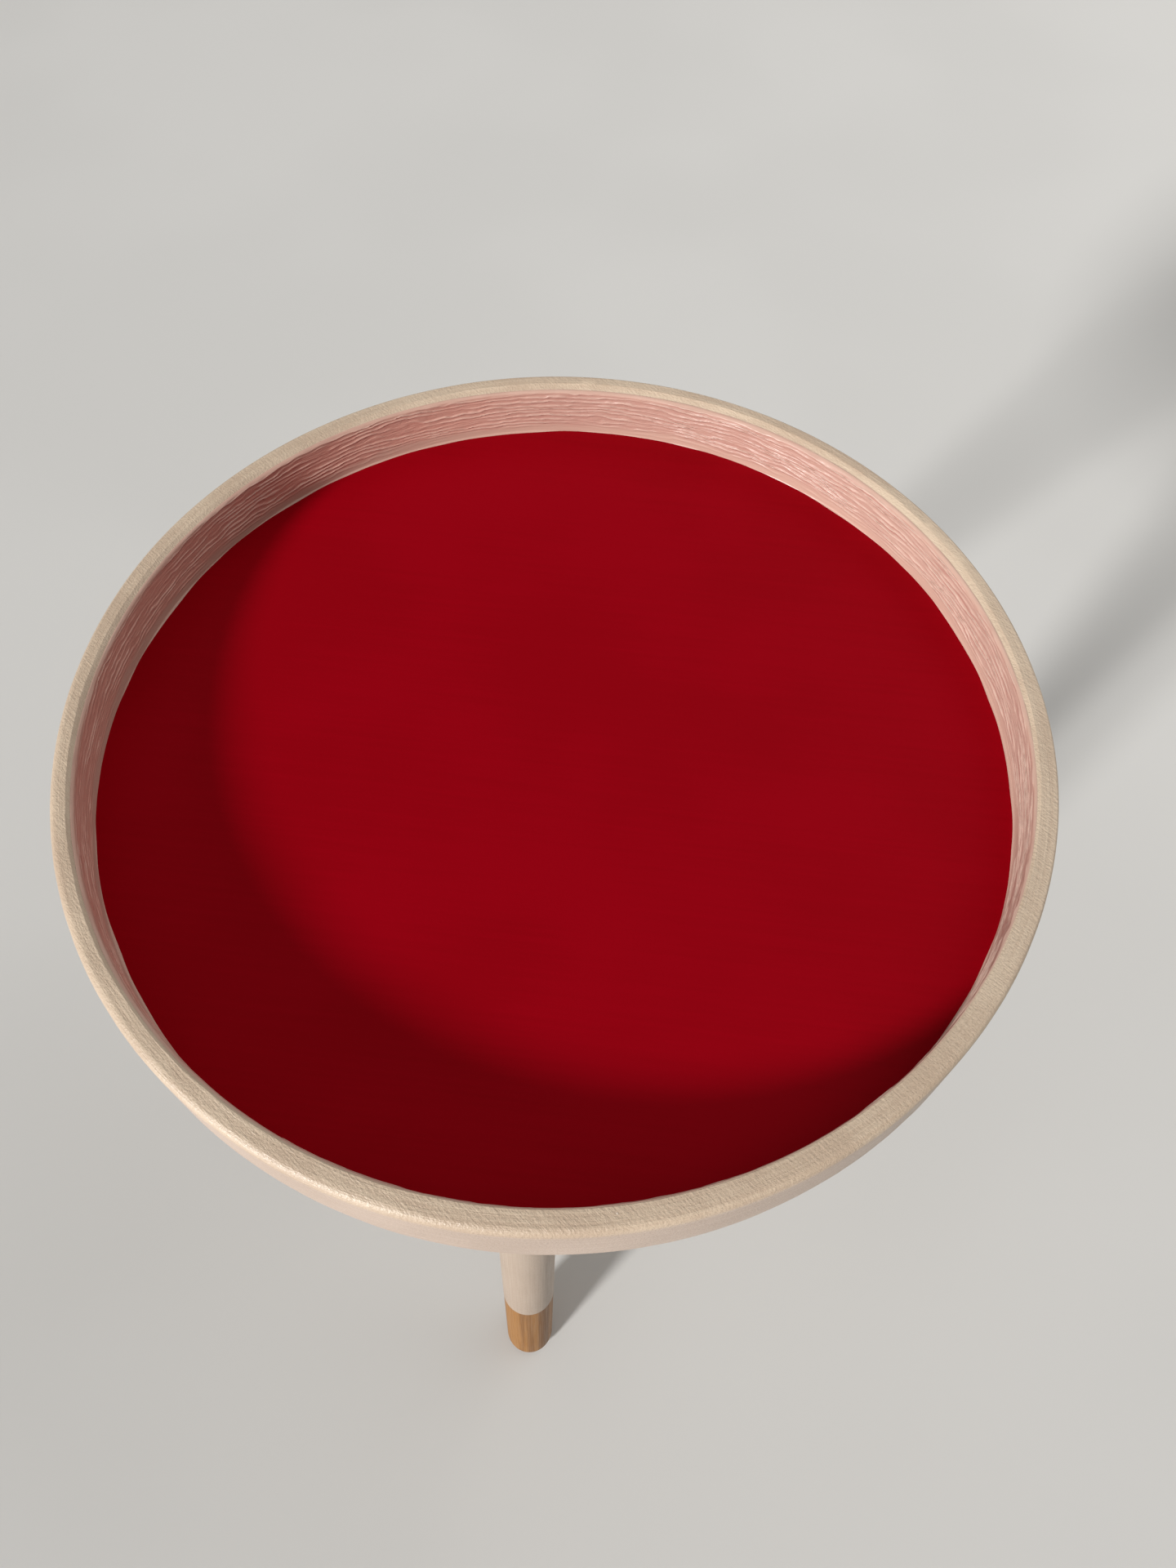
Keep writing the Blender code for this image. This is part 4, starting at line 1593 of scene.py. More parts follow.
@dataclass
class TrayHoop:
    """The tray's rim: a hoop with rounded edges and a rebate at its foot inside."""

    palette: Palette
    shaping: HandShaping = HandShaping()
    outer_round: float = 0.0040
    inner_round: float = 0.0016
    foot_round: float = 0.0015
    setback: float = 0.0013
    slope_width: float = 0.0030
    slope_drop: float = 0.0016
    slope_break: float = 0.0008
    film: float = 0.0001
    facets: int = 384
    round_steps: int = 12
    unevenness: float = 0.00012
    uneven_range: Pair = (0.35, 0.65)
    ripple: float = 0.018

    @property
    def wall_radius(self) -> float:
        """Radius of the bare wall behind the paint."""
        return TABLE.wall_radius + self.setback

    def corners(self) -> list[HoopCorner]:
        """The section's corners, from the foot outside round to the foot inside.

        Returns:
            The corners.
        """
        top = TABLE.height - self.film
        shoulder = TABLE.floor_top + TABLE.clearance
        return [
            HoopCorner(TABLE.tray_radius, TABLE.rim_bottom, self.foot_round),
            HoopCorner(TABLE.tray_radius, top, self.outer_round),
            HoopCorner(self.wall_radius + self.slope_width, top, self.slope_break),
            HoopCorner(self.wall_radius, top - self.slope_drop, self.inner_round),
            HoopCorner(self.wall_radius, shoulder),
            HoopCorner(TABLE.rebate_radius, shoulder),
            HoopCorner(TABLE.rebate_radius, TABLE.rim_bottom),
        ]

    def tree(self, values: Mapping[str, Feed]) -> bpy.types.NodeTree:
        """Sweeps the rounded section round a circle, wears it uneven and shapes its edges.

        Args:
            values: What the tree will be used with, by its inputs' names.

        Returns:
            The tree.
        """
        wiring, entry = geometry_tree("tray_hoop", values)
        count = len(self.corners())
        numbers = range(1, count + 1)
        places = self._choice(wiring, "VECTOR", [entry[f"Corner {n} Place"] for n in numbers])
        rounds = self._choice(wiring, "FLOAT", [entry[f"Corner {n} Round"] for n in numbers])
        line = wiring.wire("GeometryNodeMeshLine", {"Count": count})
        section = wiring.wire("GeometryNodeSetPosition", {"Geometry": line, "Position": places})
        curve = wiring.wire("GeometryNodeMeshToCurve", {"Mesh": section})
        loop = wiring.wire("GeometryNodeSetSplineCyclic", {"Geometry": curve, "Cyclic": True})
        fillet = {"Curve": loop, "Radius": rounds, "Count": entry["Round Steps"]}
        filleted = wiring.wire("GeometryNodeFilletCurve", fillet, mode="POLY")
        size = {"Resolution": entry["Facets"], "Radius": entry["Sweep Radius"]}
        circle = wiring.wire("GeometryNodeCurvePrimitiveCircle", size)
        swept = wiring.wire("GeometryNodeCurveToMesh", {"Curve": circle, "Profile Curve": filleted})
        place = wiring.wire("GeometryNodeInputPosition")
        ripples = wiring.noise(wiring.scaled(place, 1.0 / entry["Ripple"]))
        depth = wiring.remap(ripples, *self.uneven_range) * entry["Unevenness"]
        worn = wiring.moved(swept, wiring.scaled(wiring.wire("GeometryNodeInputNormal"), depth))
        sloped = wiring.moved(worn, self.shaping.slope_shift(wiring, place, entry))
        edged = wiring.moved(sloped, self.shaping.outer_shift(wiring, place, entry))
        return end_tree(wiring, edged, entry["Finish"])

    @staticmethod
    def _choice(wiring: Wiring, kind: str, choices: Sequence[Wire]) -> Wire:
        """On each point, the choice whose number is the point's own.

        Args:
            wiring: The tree.
            kind: What kind the choices are.
            choices: The choices.

        Returns:
            The choice.
        """
        switch = wiring.node("GeometryNodeIndexSwitch", data_type=kind)
        while len(switch.index_switch_items) < len(choices):
            switch.index_switch_items.new()
        feeds = {str(number): choice for number, choice in enumerate(choices)}
        wiring.feed(switch, feeds | {"Index": wiring.wire("GeometryNodeInputIndex")})
        return Wire(wiring, switch.outputs[0])

    def build(self) -> bpy.types.Object:
        """Makes the hoop, with its holes for the floor's pins.

        Returns:
            The piece.
        """
        finish = self.palette.get(RIM_PAINT)
        values = {"Sweep Radius": TABLE.tray_radius, "Finish": finish} | self.shaping.values(self)
        values |= labelled(self, "facets", "round_steps", "unevenness", "ripple", "outer_round")
        for number, corner in enumerate(self.corners(), start=1):
            inward = corner.radius - TABLE.tray_radius
            values[f"Corner {number} Place"] = (inward, -corner.height, 0.0)
            values[f"Corner {number} Round"] = corner.round
        hoop = joined(grown(self.tree(values), values))
        holes = joined(FLOOR_PIN.hole(), places=Tray.pin_ring().places())
        return piece("tray_hoop", cut(hoop, holes), [finish], ["tray_rim"])


@dataclass
class WallPaint:
    """The thick brushed paint on the rim's inner wall, up to a hand-masked line."""

    palette: Palette
    hoop: TrayHoop
    columns: int = 720
    cove_rows: int = 5
    wall_rows: int = 82
    round_rows: int = 14
    film: float = 0.00025
    gap: float = 0.00004
    cove_height: float = 0.0009
    foot_width: float = 0.00060
    foot_waves: Waves = ((0.5, 3, 1.3), (0.35, 7, 0.4), (0.35, 13, 2), (0.25, 29, 0), (0.15, 47, 1))
    foot_kinks: Waves = ((0.5, 4.5, 0.6), (0.3, 9.5, 0.0))
    foot_share: float = 0.35
    least_foot: float = 0.1
    masking_share: float = 0.46
    masking_rise: float = 0.18
    masking_high_angle: float = math.radians(-80.0)
    masking_sway: float = 0.020
    masking_waves: Waves = ((1, 2, 0.7), (0.6, 5, 2), (0.25, 11, 1), (0.2, 23, 0), (0.15, 41, 2))
    heaviest_angle: float = math.radians(30.0)
    lightest: float = 0.50
    low_load: float = 0.14
    rise_range: Pair = (TABLE.floor_top + 0.0010, TABLE.floor_top + 0.0090)
    fall_start: float = -0.0006
    fall_end: float = 0.0014
    stroke_height: float = 0.00057
    bristle_height: float = 0.00016

    def foot_reach(self, turn: float) -> float:
        """How far the paint's foot runs out over the floor, at a place round the rim.

        Args:
            turn: The place, as an angle from +X.

        Returns:
            The reach.
        """
        share = self.foot_share + waves(turn, self.foot_waves)
        for size, count, start in self.foot_kinks:
            share += size * abs(math.sin(count * turn + start))
        return self.foot_width * max(self.least_foot, share)

    def masking(self, turn: float) -> float:
        """The share of the inner slope that the paint climbs, at a place round the rim."""
        rise = self.masking_rise * max(0.0, math.cos(turn - self.masking_high_angle))
        return self.masking_share + rise + self.masking_sway * waves(turn, self.masking_waves)

    def slope(self, share: float, lift: float) -> Pair:
        """A point over the hoop's inner edge.

        Args:
            share: How far up the rounded edge it is, from 0 at the wall to 1 at the top.
            lift: How far it stands off the wood.

        Returns:
            Its radius and height.
        """
        hoop = self.hoop
        tilt = math.atan2(hoop.slope_drop, hoop.slope_width)
        bend = math.pi / 2 - tilt
        swing = hoop.inner_round * math.tan(bend / 2)
        rounded = hoop.inner_round * bend
        along = share * (rounded + math.hypot(hoop.slope_width, hoop.slope_drop) - swing)
        turn = min(along, rounded) / hoop.inner_round
        past, reach = max(0.0, along - rounded), hoop.inner_round + lift
        radius = hoop.wall_radius + hoop.inner_round - reach * math.cos(turn) + past * math.cos(tilt)
        height = TABLE.height - hoop.film - hoop.slope_drop - swing
        return radius, height + reach * math.sin(turn) + past * math.sin(tilt)

    def section(self, turn: float) -> list[Point]:
        """The paint's closed section at a place round the rim.

        Args:
            turn: The place, as an angle from +X.

        Returns:
            The section's points.
        """
        wall = self.hoop.wall_radius
        low = TABLE.floor_top + self.gap
        reach, last = self.foot_reach(turn), self.masking(turn)
        outline: Profile = []
        for row in range(self.cove_rows):
            share = row / self.cove_rows
            out = self.film + reach * (1 - share) ** 2
            outline.append((wall - out, low + self.cove_height * share))
        start, end = low + self.cove_height, self.slope(0.0, self.film)[1]
        for row in range(self.wall_rows):
            outline.append((wall - self.film, start + (end - start) * row / self.wall_rows))
        steps = [last * row / self.round_rows for row in range(self.round_rows + 1)]
        for step in steps:
            lift = self.gap + (self.film - self.gap) * (1 - (step / last) ** 3)
            outline.append(self.slope(step, lift))
        outline += [self.slope(step, -self.gap) for step in reversed(steps)]
        outline.append((wall + self.gap, low))
        across, ahead = math.cos(turn), math.sin(turn)
        return [(radius * across, radius * ahead, height) for radius, height in outline]

    def load(self, spot: Vector) -> float:
        """How thickly the paint is brushed on at a place, from 0 to 1.

        Args:
            spot: The place.

        Returns:
            The load.
        """
        radius = math.hypot(spot.x, spot.y)
        below_edge = spot.z < TABLE.height - 2 * self.hoop.slope_drop
        if below_edge and radius > self.hoop.wall_radius - self.gap:
            return 0.0
        edge = self.slope(0.0, 0.0)[1]
        rise = eased(spot.z, *self.rise_range)
        fall = 1 - eased(spot.z, edge + self.fall_start, edge + self.fall_end)
        away = math.atan2(spot.y, spot.x) - self.heaviest_angle
        by_side = self.lightest + (1 - self.lightest) * (0.5 + 0.5 * math.cos(away))
        return (self.low_load + (1 - self.low_load) * rise) * fall * by_side

    def tree(self, values: Mapping[str, Feed]) -> bpy.types.NodeTree:
        """Shapes the shell with the hoop, and raises brush strokes that run round the wall.

        Args:
            values: What the tree will be used with, by its inputs' names.

        Returns:
            The tree.
        """
        wiring, entry = geometry_tree("brush_strokes", values)
        place = wiring.wire("GeometryNodeInputPosition")
        shaped = wiring.moved(entry["Geometry"], self.hoop.shaping.slope_shift(wiring, place, entry))
        rest = {"Geometry": shaped, "Name": "rest", "Value": place}
        stored = {"data_type": "FLOAT_VECTOR", "domain": "POINT"}
        kept = wiring.wire("GeometryNodeStoreNamedAttribute", rest, **stored)
        strokes = Strokes(entry["Length"], entry["Width"], entry["Wander"])
        ridge, furrow, bristle = strokes.fields(wiring, place)
        mask = wiring.wire("GeometryNodeInputNamedAttribute", {"Name": "load"}, data_type="FLOAT")
        height = (ridge - furrow) * entry["Stroke Height"] + bristle * entry["Bristle Height"]
        height = wiring.math("MAXIMUM", height * mask, 0.0)
        brushed = wiring.moved(kept, wiring.scaled(wiring.wire("GeometryNodeInputNormal"), height))
        return end_tree(wiring, brushed, entry["Finish"])

    def build(self) -> bpy.types.Object:
        """Makes the paint's shell and brushes it.

        Returns:
            The piece.
        """
        hoop, strokes = self.hoop, WALL_PAINT.strokes
        finish = self.palette.get(WALL_PAINT)
        turns = [math.tau * column / self.columns for column in range(self.columns)]
        shell = lofted([self.section(turn) for turn in turns], looped=True)
        store(shell, "load", "FLOAT", self.load)
        values = {"Finish": finish} | labelled(strokes, "length", "width", "wander")
        values |= labelled(self, "stroke_height", "bristle_height") | hoop.shaping.values(hoop)
        brushed = grown(self.tree(values), values, shell)
        return piece("wall_paint", brushed, [finish], ["tray_rim"])


@dataclass
class Tray:
    """The tray: its hoop, wall paint, painted floor, support disc and their fasteners."""

    palette: Palette
    rings: RingMaker
    floor_facets: int = 192
    disc_facets: int = 160
    disc_edge_round: float = 0.0030
    round_steps: int = 6
    pins: int = 12
    outer_screws: int = 6
    outer_inset: float = 0.0250
    inner_screws: int = 3
    inner_radius: float = 0.050

    @staticmethod
    def _ring(count: int, radius: float, height: float) -> Ring:
        """A ring whose first place is half a step past the front."""
        return Ring(count, radius, height, Station.FRONT.value + 180 / count)

    @staticmethod
    def pin_ring() -> Ring:
        """Where the pins are, under the floor's edge and over the rim's shoulder."""
        return Tray._ring(Tray.pins, TABLE.wall_radius + TABLE.rebate_width / 2, TABLE.floor_bottom)

    def outer_screw_ring(self) -> Ring:
        """Where the screws near the support disc's edge are."""
        return self._ring(self.outer_screws, TABLE.disc_radius - self.outer_inset, TABLE.disc_bottom)

    def inner_screw_ring(self) -> Ring:
        """Where the screws round the support disc's middle are."""
        return self._ring(self.inner_screws, self.inner_radius, TABLE.disc_bottom)

    def disc_screw_holes(self) -> bpy.types.Mesh:
        """The holes of all the support disc's screws."""
        places = self.outer_screw_ring().places() + self.inner_screw_ring().places()
        return joined(DISC_SCREW.hole(), places=places)

    def floor(self) -> bpy.types.Object:
        """The thin plywood floor, painted on top.

        Returns:
            The piece.
        """
        edge = TABLE.rebate_radius - TABLE.clearance
        panel = rod(edge, TABLE.floor_bottom, TABLE.floor_top, self.floor_facets)
        pin_holes = joined(FLOOR_PIN.hole(), places=self.pin_ring().places())
        mesh = cut(panel, pin_holes, self.disc_screw_holes())
        for face in mesh.polygons:
            if face.normal.z > LEVEL:
                face.material_index = 0
            else:
                face.material_index = 1 if face.normal.z < -LEVEL else 2
        materials = [self.palette.get(finish) for finish in (FLOOR_PAINT, BOARD_FACE, BOARD_EDGE)]
        return piece("painted_floor", mesh, materials, ["tray_floor"])

    def disc(self) -> bpy.types.Object:
        """The plywood disc under the floor, drilled for its own screws and the plates'.

        Returns:
            The piece.
        """
        edge = TABLE.disc_radius - self.disc_edge_round
        low = TABLE.disc_bottom + self.disc_edge_round
        high = TABLE.disc_top - self.disc_edge_round
        profile = [(0.0, TABLE.disc_bottom)]
        profile += arc((edge, low), self.disc_edge_round, 270, 360, self.round_steps)
        profile += arc((edge, high), self.disc_edge_round, 0, 90, self.round_steps)
        profile += [(0.0, TABLE.disc_top)]
        plate_holes = joined(PLATE_SCREW.hole(), places=LegPlate.all_screw_places())
        mesh = cut(turned(profile, self.disc_facets), self.disc_screw_holes(), plate_holes)
        for face in mesh.polygons:
            face.material_index = 0 if abs(face.normal.z) > LEVEL else 1
        materials = [self.palette.get(finish) for finish in (BOARD_FACE, BOARD_EDGE)]
        return piece("plywood_disc", mesh, materials, ["support_disc"])

    def fasteners(self) -> list[bpy.types.Object]:
        """The floor's pins and the support disc's screws.

        Returns:
            The pieces.
        """
        zinc, steel = self.palette.get(ZINC), self.palette.get(STEEL)
        pins = self.rings.repeat(FLOOR_PIN.pattern(), self.pin_ring(), steel, 0.0, 1)
        pin_names = [f"floor_pin_{number + 1}" for number in range(self.pins)]
        screws = self.outer_screws + self.inner_screws
        screw_names = [f"disc_screw_{number + 1}" for number in range(screws)]
        outer_names, inner_names = screw_names[: self.outer_screws], screw_names[self.outer_screws :]
        screw = DISC_SCREW.pattern()
        outer = self.rings.repeat(screw, self.outer_screw_ring(), zinc, math.pi / 2, 2)
        inner = self.rings.repeat(screw, self.inner_screw_ring(), zinc, math.pi / 2, 3)
        return [
            piece("panel_pins", pins, [steel], pin_names),
            piece("outer_disc_screws", outer, [zinc], outer_names),
            piece("inner_disc_screws", inner, [zinc], inner_names),
        ]

    def build(self) -> list[bpy.types.Object]:
        """Makes the whole tray.

        Returns:
            The pieces.
        """
        hoop = TrayHoop(self.palette)
        paint = WallPaint(self.palette, hoop)
        return [hoop.build(), paint.build(), self.floor(), self.disc(), *self.fasteners()]


# Legs


@dataclass
class LegPart:
    """A part that every leg has one of."""

    palette: Palette
    station: Station

    def dressed(
        self, name: str, node: str, mesh: bpy.types.Mesh, slot: Slot, finishes: Sequence[Finish]
    ) -> bpy.types.Object:
        """The part as a piece, with its leg's side at the end of its name and its node's.

        Args:
            name: What the piece is called.
            node: What its CAD node is called.
            mesh: Its mesh.
            slot: Not used.
            finishes: Its finishes, in the order of the mesh's material numbers.

        Returns:
            The piece.
        """
        side = self.station.side
        materials = [self.palette.get(finish) for finish in finishes]
        return piece(f"{name}_{side}", mesh, materials, [f"{node}_{side}"])


@dataclass
class Leg(LegPart):
    """A turned, tapered leg: painted, with a bare tip under a crisp dip line."""

    facets: int = 96
    tip_length: float = 0.113
    foot_round: float = 0.0040
    top_round: float = 0.0015
    round_steps: int = 6
    paint: float = 0.00018
    first_paint_share: float = 0.8
    first_paint_rise: float = 0.00002
    tip_rows: tuple[float, ...] = (0.025, 0.055, 0.085)
    row_height: float = 0.040
    bolt_hole_radius: float = 0.0043
    bolt_hole_depth: float = 0.0303
    nail_hole_radius: float = 0.0015
    nail_hole_top: float = 0.0185
    nail_hole_facets: int = 24

    @property
    def place(self) -> Matrix:
        """From the leg's own frame, with its axis on +Z, to the table's."""
        foot = Matrix.Translation((TABLE.foot_circle_radius, 0, 0))
        return self.station.turn @ foot @ Matrix.Rotation(-TABLE.leg_lean, 4, "Y")

    @property
    def grain_offset(self) -> Vector:
        """What sets each leg's grain apart from the other legs'."""
        turn = math.radians(self.station.value)
        return Vector((0.5 * math.cos(turn), 0.5 * math.sin(turn), math.sin(3 * turn + 1)))

    def radius(self, height: float) -> float:
        """The bare leg's radius at a distance up its axis."""
        growth = TABLE.leg_top_radius - TABLE.leg_foot_radius
        return TABLE.leg_foot_radius + growth * height / TABLE.leg_length

    def profile(self) -> Profile:
        """The leg's outline, from under its foot to the bottom of the bolt's hole.

        Returns:
            Radius and height of each point.
        """
        waste = 2 * TABLE.leg_foot_radius * math.tan(TABLE.leg_lean)
        tip, top = self.tip_length, TABLE.leg_length
        shoulder, dipped = top - self.top_round, self.radius(self.tip_length)
        profile = [(0.0, -waste), (self.radius(-waste), -waste)]
        profile += [(self.radius(height), height) for height in self.tip_rows]
        first = dipped + self.paint * self.first_paint_share
        profile += [(dipped, tip), (first, tip + self.first_paint_rise)]
        profile += [(dipped + self.paint, tip + self.paint)]
        rows = int((shoulder - tip) / self.row_height)
        for row in range(1, rows):
            height = tip + (shoulder - tip) * row / rows
            profile.append((self.radius(height) + self.paint * (1 - row / rows), height))
        corner = (self.radius(shoulder) - self.top_round, shoulder)
        profile += arc(corner, self.top_round, 0, 90, self.round_steps)
        bottom = top - self.bolt_hole_depth
        return profile + [(self.bolt_hole_radius, top), (self.bolt_hole_radius, bottom), (0.0, bottom)]

    def build(self) -> bpy.types.Object:
        """Turns the leg, cuts its foot level and drills it for the glide's nail.

        Returns:
            The piece.
        """
        blank = turned(self.profile(), self.facets)
        upright = Vector((math.sin(TABLE.leg_lean), 0, math.cos(TABLE.leg_lean)))
        foot = TABLE.foot_bottom / math.cos(TABLE.leg_lean)
        cut_level = levelled(blank, foot, upright, self.foot_round, self.round_steps)
        low, top = TABLE.foot_bottom - CUT_OVERRUN, self.nail_hole_top
        nail_turn = Matrix.Rotation(TABLE.leg_lean, 4, "Y")
        hole = rod(self.nail_hole_radius, low, top, self.nail_hole_facets, nail_turn)
        mesh = cut(cut_level, hole)
        for face in mesh.polygons:
            x, y, height = face.center
            bare = height < self.tip_length or height > TABLE.leg_length - MERGE_DISTANCE
            inside = math.hypot(x, y) < self.bolt_hole_radius + MERGE_DISTANCE
            face.material_index = 1 if bare or inside else 0
        offset = self.grain_offset
        store(mesh, "leg_frame", "FLOAT_VECTOR", lambda spot: spot + offset)
        mesh.transform(self.place)
        return self.dressed("turned_leg", "leg", mesh, Slot.SAND, (LEG_PAINT, LEG_TIP))


@dataclass
class LegPlate(LegPart):
    """The angled steel plate that holds a leg: a square flange with a slanted boss."""

    width: float = 0.0640
    corner_round: float = 0.0060
    edge_break: float = 0.0005
    screws: int = 4
    screw_inset: float = 0.0070
    boss_lip: float = 0.0050
    boss_break: float = 0.0006
    boss_fillet: float = 0.0025
    boss_web: float = 0.0030
    nut_across_flats: float = 0.0130
    nut_sides: int = 6
    bolt_diameter: float = 0.0080
    facets: int = 96
    corner_steps: int = 10
    fillet_steps: int = 5
    bolt_facets: int = 48

    @staticmethod
    def middle() -> Matrix:
        """The plate's middle at its underside, in a leg's own frame."""
        return Matrix.Translation((TABLE.plate_radius, 0, TABLE.plate_bottom))

    @staticmethod
    def screw_ring() -> Ring:
        """The four screws, as a ring round the plate's middle."""
        reach = LegPlate.width / 2 - LegPlate.screw_inset
        return Ring(LegPlate.screws, reach * math.sqrt(2), 0.0, 45.0)

    @staticmethod
    def plate_ring() -> Ring:
        """The three plates, as a ring round the table's axis."""
        return Ring(len(Station), TABLE.plate_radius, TABLE.plate_bottom, Station.FRONT.value)

    @staticmethod
    def all_screw_places() -> list[Matrix]:
        """Places of every plate's screws on the whole table."""
        plates = [station.turn @ LegPlate.middle() for station in Station]
        return [plate @ spot for plate in plates for spot in LegPlate.screw_ring().places()]

    @property
    def seat(self) -> float:
        """How far down the leg's axis its seat is from the plate's underside."""
        drop = self.boss_lip + TABLE.leg_top_radius * math.sin(TABLE.leg_lean)
        return drop / math.cos(TABLE.leg_lean)

    def flange(self) -> bpy.types.Mesh:
        """The flat square flange, with round corners and its sharp edges broken.

        Returns:
            The mesh.
        """
        rings = []
        for inset, height in (
            (self.edge_break, 0.0),
            (0.0, self.edge_break),
            (0.0, TABLE.plate_thickness - self.edge_break),
            (self.edge_break, TABLE.plate_thickness),
        ):
            reach = self.width / 2 - self.corner_round
            ring = []
            for quarter in range(4):
                centre = Matrix.Rotation(quarter * math.pi / 2, 2) @ Vector((reach, reach))
                first, bend = 90 * quarter, self.corner_round - inset
                corner = arc(tuple(centre), bend, first, first + 90, self.corner_steps)
                ring += [(x, y, height) for x, y in corner]
            rings.append(ring)
        return lofted(rings)

    def boss(self) -> bpy.types.Mesh:
        """The slanted round boss, with a fillet where it meets the flange.

        Returns:
            The mesh.
        """
        radius, lean = TABLE.leg_top_radius, TABLE.leg_lean
        turns = [math.tau * index / self.facets for index in range(self.facets)]
        fillet = arc((0.0, 0.0), self.boss_fillet, 15, 90, self.fillet_steps)
        rings = []
        for height in (TABLE.plate_thickness / 2, 0.0, *(-down for _, down in fillet)):
            reach, centre = radius + self._flare(height), height * math.tan(lean)
            wide = reach / math.cos(lean)
            rings.append([(wide * math.cos(t) - centre, reach * math.sin(t), height) for t in turns])
        axis = Matrix.Rotation(-lean, 4, "Y")
        for inset, height in ((0.0, self.boss_break - self.seat), (self.boss_break, -self.seat)):
            reach = radius - inset
            spots = [Vector((reach * math.cos(t), reach * math.sin(t), height)) for t in turns]
            rings.append([tuple(axis @ spot) for spot in spots])
        return lofted(rings)

    def _flare(self, height: float) -> float:
        """How much wider the fillet makes the boss at a height from the flange's underside."""
        depth = min(self.boss_fillet, max(0.0, -height))
        return self.boss_fillet - math.sqrt(self.boss_fillet**2 - (self.boss_fillet - depth) ** 2)

    def build(self) -> bpy.types.Object:
        """Joins the boss to the flange and cuts the nut's pocket and all the holes.

        Returns:
            The piece.
        """
        axis = Matrix.Rotation(-TABLE.leg_lean, 4, "Y")
        body = combined(self.flange(), self.boss(), "UNION")
        top = TABLE.plate_thickness + TABLE.leg_top_radius
        flats = self.nut_across_flats / 2 + TABLE.clearance
        corner = flats / math.cos(math.pi / self.nut_sides)
        pocket = rod(corner, self.boss_web - self.seat, top, self.nut_sides, axis)
        wide = self.bolt_diameter / 2 + TABLE.clearance
        bolt = rod(wide, -self.seat - CUT_OVERRUN, top, self.bolt_facets, axis)
        screws = joined(PLATE_SCREW.hole(), places=self.screw_ring().places())
        mesh = cut(body, pocket, bolt, screws)
        mesh.transform(self.station.turn @ self.middle())
        return self.dressed("angled_plate", "leg_plate", mesh, Slot.ZINC, (ZINC,))


@dataclass
class Glide(LegPart):
    """The plastic cap under a foot, with a pocket for its nail's head."""

    radius: float = 0.0100
    thickness: float = 0.0022
    edge_round: float = 0.0012
    pocket_radius: float = 0.0053
    pocket_floor: float = 0.0011
    facets: int = 72
    round_steps: int = 6

    def build(self) -> bpy.types.Object:
        """Turns the cap and puts it under its foot.

        Returns:
            The piece.
        """
        corner = (self.radius - self.edge_round, self.edge_round)
        profile = [(0.0, 0.0), *arc(corner, self.edge_round, 270, 360, self.round_steps)]
        profile += [
            (self.radius, self.thickness),
            (self.pocket_radius, self.thickness),
            (self.pocket_radius, self.pocket_floor),
            (0.0, self.pocket_floor),
        ]
        foot = self.station.turn @ Matrix.Translation((TABLE.foot_circle_radius, 0, 0))
        mesh = turned(profile, self.facets, foot)
        return self.dressed("glide", "glide_cap", mesh, Slot.PLASTIC, (GLIDE,))


@dataclass
class Underframe:
    """The legs with their plates, glides and fasteners."""

    palette: Palette
    rings: RingMaker

    def plate_screws(self) -> bpy.types.Object:
        """All the plates' screws: a ring of four, repeated at each plate.

        Returns:
            The piece.
        """
        zinc = self.palette.get(ZINC)
        four = self.rings.repeat(PLATE_SCREW.pattern(), LegPlate.screw_ring(), zinc, math.pi / 2, 4)
        mesh = self.rings.repeat(four, LegPlate.plate_ring(), zinc, 0.0, 0)
        numbers = range(1, LegPlate.screws + 1)
        names = [f"plate_screw_{station.side}_{number}" for station in Station for number in numbers]
        return piece("plate_screws", mesh, [zinc], names)

    def dress_hidden(self) -> list[bpy.types.Object]:
        """Gives the CAD's own nuts, bolts and nails their finishes.

        Returns:
            The nodes.
        """
        dressed = []
        finishes = {"plate_nut": ZINC, "hanger_bolt": STEEL, "glide_nail": STEEL}
        for name, finish in finishes.items():
            for station in Station:
                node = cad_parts[f"{name}_{station.side}"]
                node.data.materials.clear()
                node.data.materials.append(self.palette.get(finish))
                dressed.append(node)
        return dressed

    def build(self) -> list[bpy.types.Object]:
        """Makes everything under the tray.

        Returns:
            The pieces, and the nodes that it dressed.
        """
        made = []
        for station in Station:
            for part in (Leg, LegPlate, Glide):
                made.append(part(self.palette, station).build())
        return [*made, self.plate_screws(), *self.dress_hidden()]


# Studio and camera


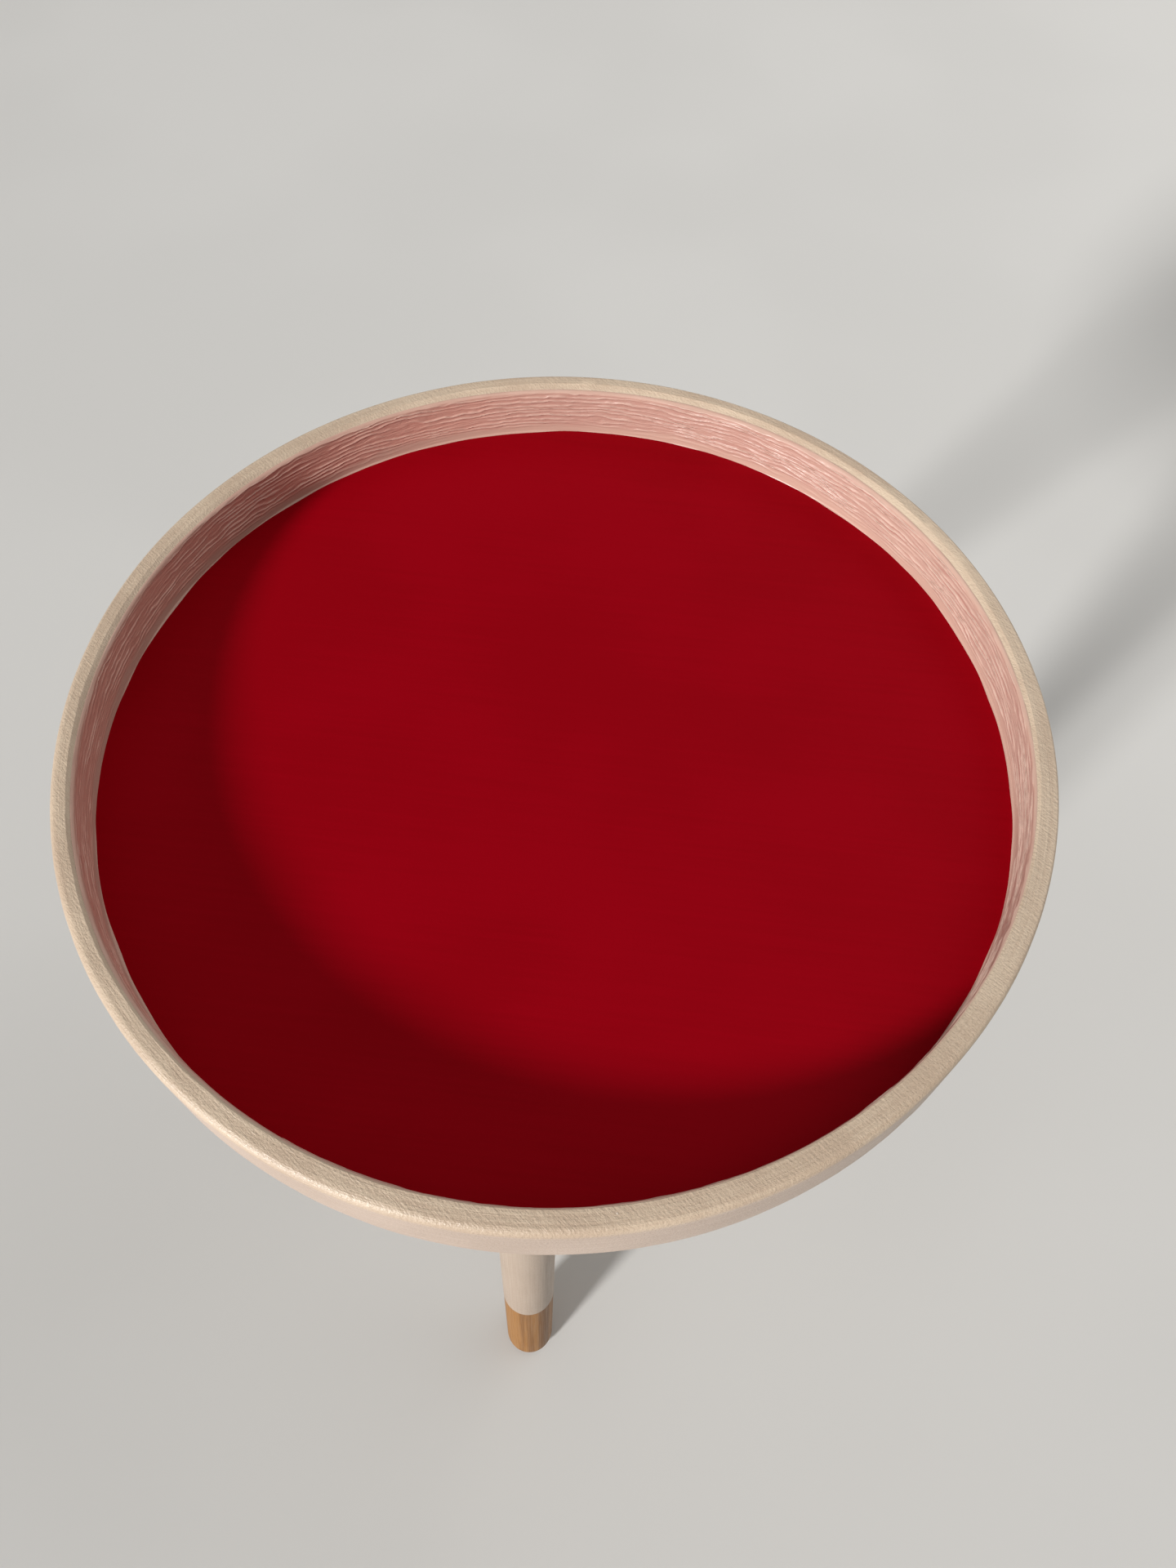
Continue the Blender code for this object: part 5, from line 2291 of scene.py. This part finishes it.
@dataclass
class Studio:
    """A plain pale floor under a soft low key light, with soft light from above."""

    palette: Palette
    floor_reach: float = 40.0
    key_heading: float = math.radians(37.7)
    key_elevation: float = math.radians(20.5)
    key_angle: float = math.radians(8)
    key_strength: float = 4.5
    top_size: float = 9.0
    top_height: float = 4.0
    top_power: float = 88.0
    side_size: float = 4.4
    side_spot: Point = (2.5, 1.9, 2.7)
    side_power: float = 60.0
    fill: float = 0.07
    backdrop: Shade = (226, 224, 220)

    def floor(self) -> None:
        """The studio's floor."""
        mesh = bpy.data.meshes.new("studio_floor")
        reach = self.floor_reach
        corners = [(-reach, -reach, 0), (reach, -reach, 0), (reach, reach, 0), (-reach, reach, 0)]
        mesh.from_pydata(corners, [], [(0, 1, 2, 3)])
        mesh.materials.append(self.palette.get(StudioSurface("studio_floor")))
        thing = linked("studio_floor", mesh)

    def world(self) -> None:
        """Even fill from all round, behind a pale backdrop that the camera and gloss see."""
        world = bpy.data.worlds.new("studio")
        bpy.context.scene.world = world
        world.use_nodes = True
        world.node_tree.nodes.clear()
        wiring = Wiring(world.node_tree)
        rays = wiring.node("ShaderNodeLightPath").outputs
        to_camera, to_gloss, through = (
            Wire(wiring, rays[f"Is {kind} Ray"]) for kind in ("Camera", "Glossy", "Transmission")
        )
        shown = wiring.math("ADD", to_camera + to_gloss, through, clamp=True)
        plain = (self.fill, self.fill, self.fill, 1.0)
        colour = wiring.mix(shown, plain, seen(self.backdrop))
        background = wiring.wire("ShaderNodeBackground", {"Color": colour, "Strength": 1.0})
        wiring.node("ShaderNodeOutputWorld", {"Surface": background})

    def key(self) -> None:
        """The soft low sun that throws the rim's shadow into the tray."""
        lamp = bpy.data.lights.new("key", "SUN")
        lamp.energy = self.key_strength
        lamp.angle = self.key_angle
        level, drop = math.cos(self.key_elevation), math.sin(self.key_elevation)
        across, ahead = math.sin(self.key_heading), math.cos(self.key_heading)
        travel = Vector((across * level, ahead * level, -drop))
        linked("key", lamp).rotation_euler = travel.to_track_quat("-Z", "Y").to_euler()

    def panel(self, name: str, size: float, power: float, spot: Point, target: Point) -> None:
        """A square soft light that only lights.

        Args:
            name: Its name.
            size: The length of its side.
            power: Its power in watts.
            spot: Where it hangs.
            target: What it faces.
        """
        lamp = bpy.data.lights.new(name, "AREA")
        lamp.shape = "SQUARE"
        lamp.size = size
        lamp.energy = power
        thing = linked(name, lamp)
        thing.location = spot
        thing.rotation_euler = (Vector(target) - Vector(spot)).to_track_quat("-Z", "Y").to_euler()
        thing.visible_camera = False
        thing.visible_glossy = False

    def build(self) -> None:
        """Sets the studio up, with colours shown as they are."""
        self.floor()
        self.world()
        self.key()
        tray = (0.0, 0.0, TABLE.height)
        self.panel("top", self.top_size, self.top_power, (0.0, 0.0, self.top_height), tray)
        self.panel("side", self.side_size, self.side_power, self.side_spot, tray)
        bpy.context.scene.view_settings.view_transform = "Standard"


@dataclass(frozen=True)
class PhotoCamera:
    """The photograph's viewpoint, found from the tray's ellipse and the room's lines."""

    spot: Point = (0.04937, -0.33222, 1.0941)
    pitch_down: float = math.radians(59.42)
    roll: float = math.radians(-1.34)
    heading: float = math.radians(5.7)
    focal_pixels: float = 1496.8
    long_side_pixels: float = 1920.0
    sensor: float = 36.0

    def build(self) -> None:
        """Makes the camera and gives it to the scene."""
        dip, rise = math.sin(self.pitch_down), math.cos(self.pitch_down)
        right, ahead, down = Vector((1, 0, 0)), Vector((0, rise, -dip)), Vector((0, -dip, -rise))
        tilted_right = math.cos(self.roll) * right + math.sin(self.roll) * down
        tilted_down = math.cos(self.roll) * down - math.sin(self.roll) * right
        axes = Matrix((tilted_right, -tilted_down, -ahead)).transposed().to_4x4()
        lens = bpy.data.cameras.new("photo_camera")
        lens.sensor_width = self.sensor
        lens.lens = self.sensor * self.focal_pixels / self.long_side_pixels
        camera = linked("photo_camera", lens)
        turn = Matrix.Rotation(self.heading, 4, "Z")
        camera.matrix_world = Matrix.Translation(self.spot) @ turn @ axes
        bpy.context.scene.camera = camera


def main() -> None:
    """Dresses the table, part by part, and sets up the studio and the camera."""
    logging.basicConfig(level=logging.INFO, format="%(message)s", force=True)
    palette = Palette()
    rings = RingMaker()
    for assembly in (Tray(palette, rings), Underframe(palette, rings)):
        for made in assembly.build():
            LOG.info("%s: %d faces", made.name, len(made.data.polygons))
    Studio(palette).build()
    PhotoCamera().build()


if __name__ == "__main__":
    main()
